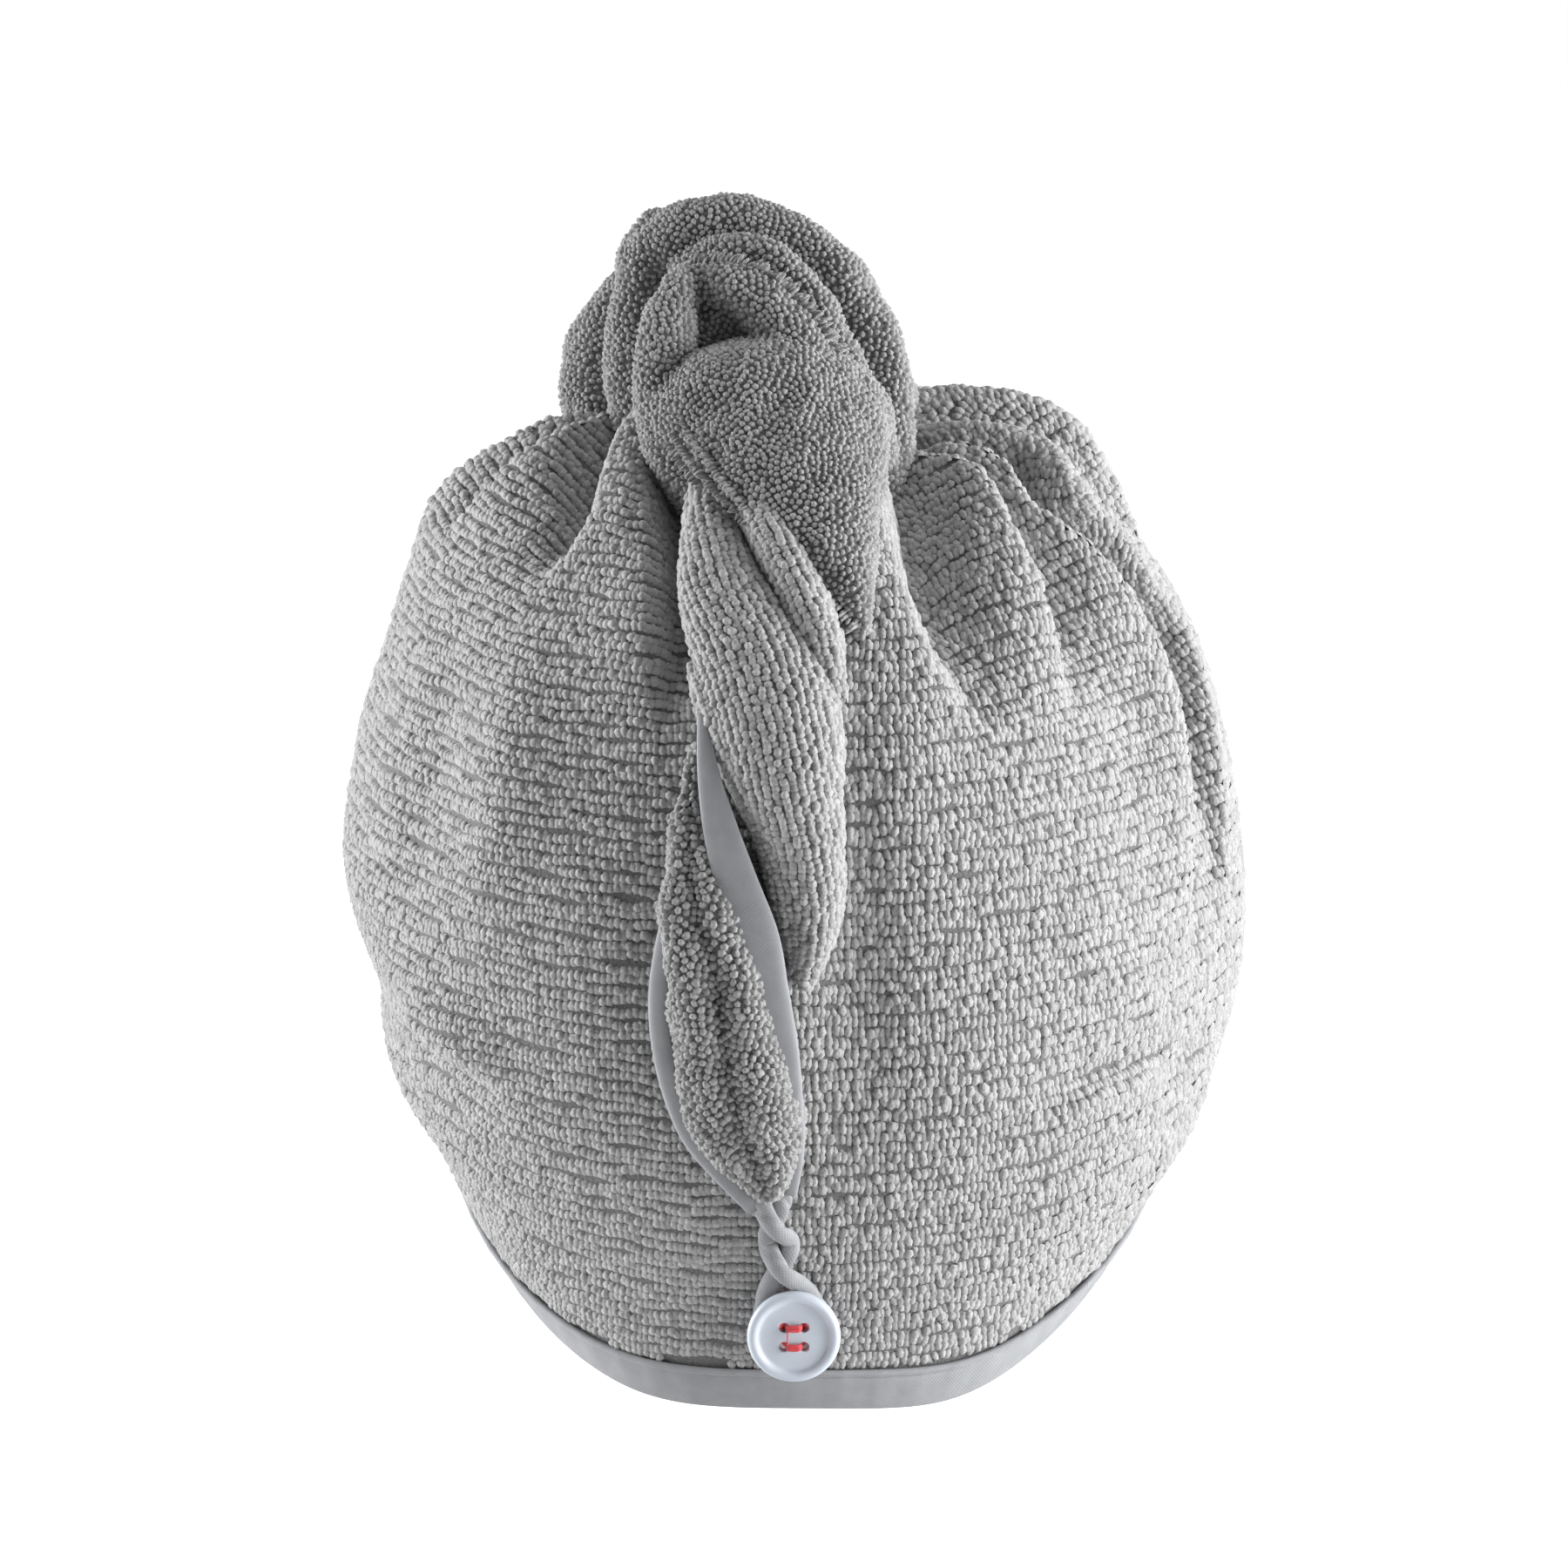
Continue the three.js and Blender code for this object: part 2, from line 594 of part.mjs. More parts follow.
function hemBand() {
  const near = gap;
  const far = gap + band.leaf;
  const inside = -hood.cloth;
  const section = [
    clothRing(bandLevel, far),
    edgeRing(far, near),
    edgeRing(near, far),
    edgeRing(inside - near, far),
    edgeRing(inside - far, near),
    clothRing(bandLevel, inside - far),
    clothRing(bandLevel, inside - near),
    edgeRing(inside - near, near),
    edgeRing(near, near),
    clothRing(bandLevel, near),
  ];
  return loft(section, true);
}

// The button's own axes: its centre, the way it faces, and up along its face
const seat = backPlace(button.right, -buttonDrop);
const sideways = new THREE.Vector3(0, 0, 1).cross(seat.normal).normalize();
const facing = seat.normal.clone().applyAxisAngle(sideways, -radians(button.tilt));
const upFace = facing.clone().cross(sideways).normalize();
const buttonFrame = new THREE.Matrix4().makeBasis(sideways, upFace, facing).setPosition(seat.point);

// A round solid about the button's axis, from a profile of [radius, height off the cloth]
function turned(profile, sides) {
  const shape = new THREE.LatheGeometry(profile.map(([r, h]) => new THREE.Vector2(r, h)), sides);
  shape.rotateX(Math.PI / 2);
  return solidOf(shape.applyMatrix4(buttonFrame));
}

// A rod in the button's axes
function rod(radius, length, x, y, z, lying = false) {
  const shape = new THREE.CylinderGeometry(radius, radius, length, 8);
  if (lying) shape.rotateZ(Math.PI / 2);
  else shape.rotateX(Math.PI / 2);
  shape.translate(x, y, z);
  return solidOf(shape.applyMatrix4(buttonFrame));
}

const buttonBack = button.standoff;
const buttonFront = button.standoff + button.thick;
const buttonFace = buttonFront - button.dish;
const holeOffset = button.holeSpacing / 2;
const holeCorners = [[-1, -1], [1, -1], [-1, 1], [1, 1]].map(([x, y]) => [x * holeOffset, y * holeOffset]);

function buttonSolid() {
  const radius = button.diameter / 2;
  const inner = radius - button.rimWidth;
  const bevel = button.dish * 0.6;
  const disc = turned(
    [
      [0, buttonBack],
      [radius - bevel, buttonBack],
      [radius, buttonBack + bevel],
      [radius, buttonFront - bevel],
      [radius - bevel, buttonFront],
      [inner + bevel, buttonFront],
      [inner, buttonFace],
      [0, buttonFace],
    ],
    24,
  );
  const middle = (buttonBack + buttonFront) / 2;
  const holes = holeCorners.map(([x, y]) => rod(button.holeDiameter / 2, button.thick * 2, x, y, middle));
  return disc.subtract(wasm.Manifold.union(holes));
}

function threadSolid() {
  const radius = thread.diameter / 2;
  const over = buttonFace + gap + radius;
  const under = buttonBack - gap;
  const length = over - under;
  const legs = holeCorners.map(([x, y]) => rod(radius, length, x, y, under + length / 2));
  const barLength = button.holeSpacing + thread.diameter;
  const bars = [-holeOffset, holeOffset].map((y) => rod(radius, barLength, 0, y, over, true));
  const shankRadius = thread.shankDiameter / 2;
  const shank = turned(
    [[0, 0], [shankRadius * 0.75, 0], [shankRadius * 0.7, under * 0.4], [shankRadius, under], [0, under]],
    12,
  );
  return wasm.Manifold.union([...legs, ...bars, shank]).subtract(hoodFilled(gap));
}

// The cord: two strands twisted once below the tail's tip, then parted around the button's shank
function cordPath() {
  const tipRow = endLobe[endLobe.length - 1];
  const tip = { across: tail.right + (tipRow.across * tail.width) / 2, down: buttonDrop - cord.reach };
  const reach = thread.shankDiameter / 2 + cord.width / 2 + gap * 2;
  const apart = cord.width * 0.55; // half the distance between strands that lie side by side
  const over = cord.thick * 0.6; // half the height between strands that cross
  const steps = 12;
  const middle = (s) => tip.across + (button.right - tip.across) * s;
  const leg = (sign) => {
    const points = [];
    for (let i = 0; i < steps; i += 1) {
      const s = i / steps;
      const turn = 2 * Math.PI * (1 - smooth(s, 0.02, 0.83)) + (sign > 0 ? 0 : Math.PI);
      const spread = THREE.MathUtils.lerp(apart, reach, smooth(s, 0.5, 1));
      const rise = cord.lift + over * Math.abs(Math.sin(turn)) * (1 + Math.sin(turn));
      points.push({ x: middle(s) + spread * Math.cos(turn), z: -tip.down - cord.reach * s, rise });
    }
    return points;
  };
  const around = [];
  for (let i = 0; i <= 5; i += 1) {
    const turn = (i / 5) * Math.PI;
    around.push({
      x: button.right + reach * Math.cos(turn),
      z: -buttonDrop - reach * Math.sin(turn),
      rise: cord.lift,
    });
  }
  const flat = [...leg(1), ...around, ...leg(-1).reverse()];
  return flat.map(({ x, z, rise }) => {
    const place = backPlace(x, z);
    return { centre: place.point.addScaledVector(place.normal, rise), out: place.normal };
  });
}

function cordSolid(grow) {
  const halves = { halfWide: cord.width / 2, halfThick: cord.thick / 2 };
  const stations = cordPath().map((place) => ({ ...place, ...halves }));
  return strand(stations, 8, grow);
}

const shellSpace = hoodFilled(gap);
const innerBinding = strip(innerStrip, 0).subtract(shellSpace);
const outerBinding = strip(outerStrip, 0).subtract(shellSpace).subtract(strip(innerStrip, gap));
const bindingSpace = strip(innerStrip, gap).add(strip(outerStrip, gap));
const topknot = sound(knotSolid(0).subtract(shellSpace));
const twistSolid = (grow) => wasm.Manifold.union(twistLobes.map((rows) => lobe(rows, grow)));
const tailTwist = sound(
  twistSolid(0).subtract(shellSpace).subtract(knotSolid(gap)).subtract(bindingSpace),
);
const tailEnd = sound(
  lobe(endLobe, 0)
    .subtract(shellSpace)
    .subtract(twistSolid(gap))
    .subtract(bindingSpace)
    .subtract(cordSolid(gap)),
);
const loopCord = sound(cordSolid(0).subtract(shellSpace).subtract(bindingSpace));

// Colour, roughness: undyed grey terry, its smooth binding, and the sewn-on pieces
const terry = { color: 0xa9a9ab, roughness: 0.95 };
const smoothCloth = { color: 0xb9b9be, roughness: 0.8 };
const pieces = {
  hood: [hoodShell(), terry],
  hem_band: [hemBand(), smoothCloth],
  topknot: [topknot, terry],
  tail_twist: [tailTwist, terry],
  tail_end: [tailEnd, terry],
  edge_binding_inner: [innerBinding, smoothCloth],
  edge_binding_outer: [outerBinding, smoothCloth],
  loop_cord: [loopCord, { color: 0x9d9da3, roughness: 0.85 }],
  button: [buttonSolid(), { color: 0xdfe3ea, roughness: 0.25 }],
  button_thread: [threadSolid(), { color: 0xb4202a, roughness: 0.7 }],
};

const turban = new THREE.Group();
for (const [name, [solid, look]] of Object.entries(pieces)) {
  const { vertProperties, triVerts, numProp } = solid.getMesh();
  const geometry = new THREE.BufferGeometry();
  geometry.setAttribute('position', new THREE.BufferAttribute(vertProperties, numProp));
  geometry.setIndex(new THREE.BufferAttribute(triVerts, 1));
  geometry.computeVertexNormals();
  const mesh = new THREE.Mesh(geometry, new THREE.MeshStandardMaterial({ ...look, metalness: 0 }));
  mesh.name = name;
  turban.add(mesh);
}

export default turban;
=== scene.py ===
# %% [markdown]
# # A worn hair turban towel
# The object is a grey terry hood with a knot on the crown. Its tail is twisted, brought down the
# back, and hooked by a cord loop over a button at the nape. Each step below first says what the
# real thing is and how it could be made, and then makes it. Lengths are in millimetres until a
# mesh is made, because towels are cut and sewn in millimetres.

# %% Tools and frame
import math

import bpy
import numpy as np
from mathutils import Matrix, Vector, noise
from mathutils.bvhtree import BVHTree


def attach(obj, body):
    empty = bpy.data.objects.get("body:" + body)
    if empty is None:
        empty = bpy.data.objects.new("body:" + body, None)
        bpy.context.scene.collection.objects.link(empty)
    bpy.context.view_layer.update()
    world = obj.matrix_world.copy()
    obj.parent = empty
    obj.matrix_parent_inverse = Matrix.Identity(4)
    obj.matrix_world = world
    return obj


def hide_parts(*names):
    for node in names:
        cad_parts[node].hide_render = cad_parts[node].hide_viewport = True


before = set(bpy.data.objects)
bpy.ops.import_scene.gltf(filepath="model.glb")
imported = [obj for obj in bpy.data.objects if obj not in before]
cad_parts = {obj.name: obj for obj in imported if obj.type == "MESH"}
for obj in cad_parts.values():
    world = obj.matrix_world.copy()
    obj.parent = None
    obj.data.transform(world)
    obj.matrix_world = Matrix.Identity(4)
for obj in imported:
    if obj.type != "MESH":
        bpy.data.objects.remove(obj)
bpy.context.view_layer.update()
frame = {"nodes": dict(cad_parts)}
MM = 0.001
BODY = "root"
print("CAD pieces:", ", ".join(frame["nodes"]))

# %% [markdown]
# ## The sizes that everything follows
# A sewn thing has few sizes that matter: how wide and deep the hood is, how far it reaches down,
# and how thick its cloth is. They are written once here, and every piece below uses them. The
# tables hold shares of these sizes, so the whole could be made larger by changing a few numbers.

# %% Driving sizes
HOOD = dict(width=213, depth=210, nape_drop=220, brow_drop=72, cloth=3, pleat=10, hem_wave=3)
BAND = dict(leaf=1.2, height=9.5)
KNOT = dict(width=70, depth=80, height=60, right=-8, front=-12, roll=14)
TAIL = dict(width=50, top=10, right=0, thick=22)
BINDING = dict(width=9.8, thick=2.4)
BUTTON = dict(diameter=21.6, thick=3.4, rim=2.6, dish=0.9, above_hem=25, right=1.1)
BUTTON.update(standoff=8, tilt=18, hole=2.4, spacing=4.6)
CORD = dict(reach=39, width=4.6, thick=3.2, lift=1.9)
THREAD = dict(shank=7.6)
GAP = 0.3
MERIDIAN = HOOD["nape_drop"] * 1.25
BUTTON_DROP = HOOD["nape_drop"] - BUTTON["above_hem"]
TAIL_LENGTH = (BUTTON_DROP - CORD["reach"] + TAIL["top"]) / 0.965
print(f"tail {TAIL_LENGTH:.0f} mm long, button {BUTTON_DROP:.0f} mm below the origin")

# %% Tables of the hood
# Level from hem to rim, then shares: drop at back and front, reach back, front, left, right, and sag
HOOD_RINGS = np.array(
    [
        [0.0, 0.982, 0.99, 0.765, 0.857, 0.73, 0.815, 1.35],
        [0.08, 0.892, 0.861, 0.845, 0.914, 0.85, 0.93, 1.33],
        [0.18, 0.795, 0.694, 0.92, 0.962, 0.925, 1.005, 1.3],
        [0.3, 0.668, 0.528, 0.981, 0.99, 0.985, 1.025, 1.2],
        [0.42, 0.527, 0.375, 1.01, 0.99, 0.98, 1.0, 1.1],
        [0.54, 0.382, 0.236, 0.99, 0.962, 0.915, 0.93, 1.0],
        [0.65, 0.255, 0.111, 0.914, 0.905, 0.865, 0.83, 1.0],
        [0.75, 0.145, 0.014, 0.781, 0.819, 0.8, 0.745, 1.0],
        [0.84, 0.059, -0.069, 0.61, 0.714, 0.65, 0.67, 1.0],
        [0.91, 0.004, -0.125, 0.438, 0.61, 0.516, 0.6, 1.0],
        [0.96, -0.027, -0.167, 0.314, 0.495, 0.376, 0.46, 1.0],
        [1.0, -0.041, -0.181, 0.162, 0.343, 0.235, 0.254, 1.0],
    ]
)
# Creases: depth and lip as shares of a pleat, width as a share of the hood's, path as level and azimuth
CREASES = [
    (1.25, 0.042, -0.4, [(0.61, 32), (0.66, 30), (0.735, 26), (0.8, 24), (0.87, 24), (1, 22)]),
    (1.2, 0.034, -0.5, [(0.6, 47), (0.72, 50), (0.8, 48), (0.9, 44), (0.94, 39), (1, 32)]),
    (1.25, 0.026, -0.6, [(0.3, 60), (0.5, 66), (0.62, 70), (0.74, 66), (0.83, 59), (0.92, 56), (1, 48)]),
    (0.7, 0.018, 0.5, [(0.3, 67), (0.5, 73), (0.62, 76), (0.74, 71), (0.83, 63), (0.92, 59), (1, 50)]),
    (0.7, 0.03, 0.4, [(0.62, 92), (0.78, 88), (0.9, 80), (1, 74)]),
    (1.2, 0.028, 0.55, [(0.74, -47), (0.83, -42), (0.88, -45), (0.93, -48), (1, -40)]),
    (1.7, 0.03, 0.85, [(0.74, -80), (0.83, -70), (0.9, -65), (0.95, -65), (1, -58)]),
    (0.7, 0.03, -0.35, [(0.62, -18), (0.75, -18), (0.82, -21), (0.88, -26), (1, -22)]),
    (0.55, 0.03, 0.4, [(0.68, -104), (0.78, -96), (0.9, -88), (1, -82)]),
]
# Creases across the cloth: the same, with paths as azimuth and level
CROSS_CREASES = [
    (0.3, 0.03, 0.3, [(-66, 0.267), (-57, 0.275), (-48, 0.28), (-36, 0.283)]),
    (0.22, 0.03, -0.25, [(28, 0.311), (41, 0.3), (58, 0.269)]),
]
FRONT_PLEATS = dict(first=99, last=261, count=10, depth=0.75, width=0.03, reach=0.5, full=0.96)
# Sags of the hem: azimuth, spread, depth as a share of its wave
HEM_SAGS = [(-26, 15, 0.5), (27, 15, 1.0)]
# Soft swellings and hollows: azimuth, level, rise in mm, then how far they spread both ways
SWELLINGS = [
    (-92, 0.24, -4.5, 20, 0.04), (-70, 0.17, 2.5, 12, 0.05), (-78, 0.34, 2.5, 18, 0.05),
    (-48, 0.3, 1.6, 9, 0.05), (-13, 0.48, -4.5, 10, 0.16), (-28, 0.6, -1.5, 7, 0.08),
    (-59, 0.54, -3.0, 7, 0.12), (-43, 0.55, 2.8, 6, 0.12), (-12, 0.2, 1.4, 8, 0.06),
    (-30, 0.12, -1.3, 9, 0.03), (-62, 0.1, -1.5, 10, 0.04),
    (24, 0.3, 1.5, 10, 0.07), (8, 0.47, -4.5, 6, 0.14), (45, 0.4, 1.6, 11, 0.1),
    (58, 0.24, -1.8, 10, 0.035), (76, 0.3, 2.6, 9, 0.12), (40, 0.16, 1.2, 12, 0.04),
    (66, 0.12, 1.8, 10, 0.04), (18, 0.62, 1.8, 6, 0.05), (104, 0.4, -2.0, 12, 0.1),
]
print(len(HOOD_RINGS), "rings,", len(CREASES) + len(CROSS_CREASES), "creases")

# %% Tables of the knot and the tail
# Rolls of the knot: across, along and up from its middle, then wide and thick
KNOT_ROLLS = [
    [(-0.38, 0.06, 0.74, 0.8, 0.8), (-0.24, 0.05, 0.85, 1.0, 1.0), (-0.05, 0.03, 0.87, 1.05, 1.05),
     (0.13, -0.02, 0.8, 1.0, 1.0), (0.28, -0.08, 0.68, 0.9, 1.0), (0.38, -0.13, 0.48, 0.8, 1.0),
     (0.43, -0.18, 0.28, 0.75, 1.0), (0.44, -0.23, 0.08, 0.75, 1.0), (0.42, -0.28, -0.12, 0.7, 0.8)],
    [(-0.24, -0.03, 0.7, 0.5, 0.6), (-0.1, -0.08, 0.77, 0.62, 0.8), (0.03, -0.12, 0.74, 0.66, 0.9),
     (0.16, -0.18, 0.63, 0.66, 0.9), (0.26, -0.23, 0.43, 0.62, 0.9), (0.35, -0.28, 0.23, 0.6, 0.9),
     (0.41, -0.33, 0.03, 0.6, 0.8)],
    [(-0.22, -0.14, 0.68, 0.5, 0.6), (-0.08, -0.2, 0.66, 0.85, 0.9), (0.06, -0.26, 0.56, 1.0, 1.0),
     (0.16, -0.31, 0.43, 1.0, 1.0), (0.23, -0.35, 0.29, 0.8, 0.9)],
    [(-0.25, -0.2, 0.66, 0.6, 0.7), (-0.29, -0.28, 0.5, 0.85, 0.9), (-0.3, -0.36, 0.28, 0.9, 1.0),
     (-0.26, -0.43, 0.06, 0.95, 1.0), (-0.18, -0.5, -0.12, 0.8, 0.8)],
    [(-0.33, 0.14, 0.86, 0.6, 0.7), (-0.36, 0.1, 0.76, 0.8, 0.9), (-0.38, 0.06, 0.6, 0.85, 1.0),
     (-0.4, 0.03, 0.43, 0.9, 1.0), (-0.4, -0.05, 0.23, 0.9, 1.0), (-0.36, -0.14, 0.04, 0.8, 0.8)],
    [(-0.48, 0.28, -0.06, 1.2, 1.2), (-0.54, 0.34, 0.14, 1.35, 1.3), (-0.52, 0.42, 0.34, 1.3, 1.3),
     (-0.4, 0.46, 0.54, 1.2, 1.2), (-0.22, 0.38, 0.7, 1.0, 1.1), (-0.04, 0.24, 0.76, 0.6, 0.7)],
    [(-0.4, 0.6, -0.1, 1.2, 1.2), (-0.28, 0.66, 0.16, 1.35, 1.3), (-0.1, 0.62, 0.4, 1.35, 1.3),
     (0.1, 0.48, 0.58, 1.25, 1.2), (0.22, 0.28, 0.66, 1.0, 1.1), (0.26, 0.06, 0.64, 0.6, 0.7)],
    [(-0.08, 0.72, -0.1, 1.2, 1.2), (0.08, 0.68, 0.14, 1.35, 1.3), (0.25, 0.54, 0.32, 1.3, 1.3),
     (0.36, 0.32, 0.42, 1.15, 1.2), (0.38, 0.06, 0.42, 0.8, 0.8)],
    [(0.22, 0.58, -0.1, 1.1, 1.1), (0.34, 0.46, 0.06, 1.2, 1.2), (0.42, 0.26, 0.16, 1.15, 1.2),
     (0.43, 0.02, 0.18, 0.9, 1.0), (0.4, -0.16, 0.14, 0.5, 0.6)],
]
# Round masses of the knot: across, along and up, then half sizes the same way
KNOT_MASSES = [(-0.02, 0.14, 0.32, 0.42, 0.46, 0.46), (0.04, -0.36, 0.16, 0.42, 0.28, 0.32)]
# Lobes of the tail: across, down, lift off the hood, wide and thick
KNOT_LOBE = [
    (-0.3, -0.02, 0.5, 0.8, 1.0), (-0.08, 0.06, 0.5, 0.98, 1.1), (0.1, 0.11, 0.46, 0.84, 1.0),
    (0.26, 0.155, 0.42, 0.6, 0.9), (0.42, 0.2, 0.38, 0.36, 0.75), (0.56, 0.24, 0.32, 0.18, 0.5),
    (0.64, 0.262, 0.28, 0.08, 0.3),
]
TWIST_LOBES = [
    [(-0.42, 0.1, 0.32, 0.16, 0.6), (-0.24, 0.15, 0.4, 0.21, 0.7), (0.0, 0.21, 0.42, 0.23, 0.7),
     (0.24, 0.28, 0.38, 0.21, 0.6), (0.4, 0.345, 0.26, 0.1, 0.4)],
    [(-0.72, 0.11, 0.22, 0.18, 0.5), (-0.68, 0.15, 0.26, 0.26, 0.6), (-0.56, 0.22, 0.28, 0.42, 0.72),
     (-0.26, 0.3, 0.28, 0.58, 0.8), (-0.07, 0.39, 0.34, 0.56, 0.85), (0.06, 0.475, 0.32, 0.42, 0.75),
     (0.16, 0.54, 0.28, 0.33, 0.66), (0.21, 0.61, 0.22, 0.25, 0.55), (0.18, 0.66, 0.18, 0.16, 0.45),
     (0.14, 0.7, 0.12, 0.06, 0.25)],
    [(-0.78, 0.31, 0.2, 0.1, 0.4), (-0.62, 0.37, 0.26, 0.16, 0.55), (-0.36, 0.44, 0.26, 0.18, 0.6),
     (-0.1, 0.52, 0.24, 0.18, 0.55), (0.02, 0.6, 0.2, 0.16, 0.45), (0.08, 0.665, 0.14, 0.08, 0.3)],
]
END_LOBE = [
    (-0.8, 0.405, 0.16, 0.05, 0.25), (-0.82, 0.48, 0.2, 0.13, 0.45), (-0.8, 0.55, 0.24, 0.24, 0.6),
    (-0.71, 0.625, 0.26, 0.35, 0.72), (-0.6, 0.685, 0.27, 0.41, 0.78), (-0.54, 0.75, 0.27, 0.44, 0.8),
    (-0.45, 0.825, 0.26, 0.47, 0.76), (-0.36, 0.89, 0.24, 0.46, 0.7), (-0.27, 0.935, 0.2, 0.32, 0.6),
    (-0.2, 0.965, 0.18, 0.18, 0.5), (-0.19, 0.98, 0.16, 0.1, 0.4),
]
INNER_STRIP = [
    (-0.71, 0.37, 0.42, 0.3, 1.0), (-0.66, 0.435, 0.5, 0.5, 1.0), (-0.56, 0.5, 0.52, 0.8, 1.0),
    (-0.42, 0.57, 0.5, 1.0, 1.0), (-0.25, 0.635, 0.48, 0.98, 1.0), (-0.14, 0.705, 0.44, 0.8, 1.0),
    (-0.04, 0.775, 0.4, 0.66, 1.0), (0.03, 0.85, 0.34, 0.5, 1.0), (0.06, 0.93, 0.26, 0.38, 1.0),
    (0.02, 0.985, 0.18, 0.3, 1.0),
]
OUTER_STRIP = [
    (-0.98, 0.58, 0.16, 0.3, 1.0), (-1.08, 0.65, 0.16, 0.48, 1.2), (-1.14, 0.73, 0.16, 0.52, 1.3),
    (-1.1, 0.8, 0.16, 0.52, 1.3), (-1.01, 0.855, 0.16, 0.52, 1.3), (-0.84, 0.915, 0.16, 0.5, 1.3),
    (-0.56, 0.965, 0.16, 0.48, 1.3), (-0.3, 1.01, 0.14, 0.42, 1.2),
]
print(len(KNOT_ROLLS), "rolls in the knot,", len(TWIST_LOBES) + 2, "lobes down the back")

# %% [markdown]
# ## The hood's surface as a function
# Gathered cloth could be sculpted or simulated, but this cloth has already come to rest, and the
# solids of the frame show where. So its surface is a rule: a ring at each level, with a place at
# each azimuth, and creases that sink along paths. A rule can be asked for any point, so the same
# function later places every loop of the terry, the tail and the button.

# %% Smooth curves through table rows
def curve(keys, values, at):
    """Smooth values at `at`, through rows whose keys rise."""
    keys, values, at = (np.asarray(a, float) for a in (keys, values, at))
    wide = values.reshape(len(keys), -1)
    steps = np.diff(keys)
    slopes = np.diff(wide, axis=0) / steps[:, None]
    tangents = np.vstack([slopes[:1], np.zeros_like(slopes[1:]), slopes[-1:]])
    before, after = steps[:-1, None], steps[1:, None]
    tangents[1:-1] = (slopes[:-1] * after + slopes[1:] * before) / (before + after)
    i = np.clip(np.searchsorted(keys, at, side="right") - 1, 0, len(keys) - 2)
    step = steps[i][..., None]
    u = (at - keys[i])[..., None] / step
    made = (2 * u**3 - 3 * u**2 + 1) * wide[i] + (u**3 - 2 * u**2 + u) * step * tangents[i]
    made += (3 * u**2 - 2 * u**3) * wide[i + 1] + (u**3 - u**2) * step * tangents[i + 1]
    return made.reshape(at.shape + values.shape[1:])


def smooth(x, low, high):
    """Rises from 0 at low to 1 at high."""
    t = np.clip((x - low) / (high - low), 0, 1)
    return t * t * (3 - 2 * t)


def circle(sides):
    """Angles of a closed ring's points."""
    return np.linspace(0, 2 * np.pi, sides, endpoint=False)


def travelled(points):
    """The distance along a line of points, at each of them."""
    return np.concatenate([[0], np.cumsum(np.linalg.norm(np.diff(points, axis=0), axis=-1))])


def bell(x):
    """1 at zero, falling softly to nothing on both sides."""
    return np.exp(-(x**2))


def unit(vectors):
    return vectors / np.maximum(np.linalg.norm(vectors, axis=-1, keepdims=True), 1e-9)


def wrapped(angle):
    return (angle + 180) % 360 - 180


def half_shares(level):
    """The hood's left and right half widths at a level, as shares of its own."""
    return curve(HOOD_RINGS[:, 0], HOOD_RINGS[:, 5:7], level)


print("half widths a third of the way up:", half_shares(0.33).round(2))

# %% The unfolded shell
HEM_REACH = 0.16  # the level up to which a sag of the hem is felt


def shell_point(azimuth, level):
    azimuth, level = np.broadcast_arrays(np.asarray(azimuth, float), np.asarray(level, float))
    ring = curve(HOOD_RINGS[:, 0], HOOD_RINGS[:, 1:], level)
    back_drop, front_drop, back, front, left, right, sag = np.moveaxis(ring, -1, 0)
    turn = np.radians(azimuth)
    y_back = -back * HOOD["depth"] / 2
    y_front = front * HOOD["depth"] / 2
    z_back = -back_drop * HOOD["nape_drop"]
    z_front = -front_drop * HOOD["brow_drop"]
    share = (1 - np.cos(turn)) / 2
    dip = sum(depth * bell((azimuth - middle) / spread) for middle, spread, depth in HEM_SAGS)
    dip = dip * (1 - smooth(level, 0, HEM_REACH)) * HOOD["hem_wave"]
    x = np.where(np.sin(turn) > 0, right, left) * HOOD["width"] * np.sin(turn) / 2
    y = (y_back + y_front) / 2 - (y_front - y_back) * np.cos(turn) / 2
    z = z_back + (z_front - z_back) * share**sag - dip
    return np.stack([x, y, z], -1)


def shell_normal(azimuth, level):
    level = np.asarray(level, float)
    around = shell_point(azimuth + 0.5, level) - shell_point(azimuth - 0.5, level)
    low, high = np.maximum(level - 0.004, 0), np.minimum(level + 0.004, 1)
    upward = shell_point(azimuth, high) - shell_point(azimuth, low)
    return unit(np.cross(around, upward))


nape_facing = shell_normal(np.zeros(1), 0.0)[0]
print("nape hem at", shell_point(0.0, 0.0).round(1), "facing", nape_facing.round(2))

# %% Creases and pleats
# Shares of a crease's width: how far its valley and the lip beside it reach on either side
VALLEY = dict(steep=0.45, gentle=1.5)
LIP = dict(place=1.1, steep=0.5, gentle=2.0)


def crease_height(depth, width, lip, across):
    """A fold that leans over its valley: steep towards its lip, gentle on the other side."""
    offset = across / (width * HOOD["width"]) * np.sign(lip)
    valley = depth * bell(offset / np.where(offset > 0, VALLEY["steep"], VALLEY["gentle"]))
    past = offset - LIP["place"]
    return abs(lip) * bell(past / np.where(past > 0, LIP["gentle"], LIP["steep"])) - valley


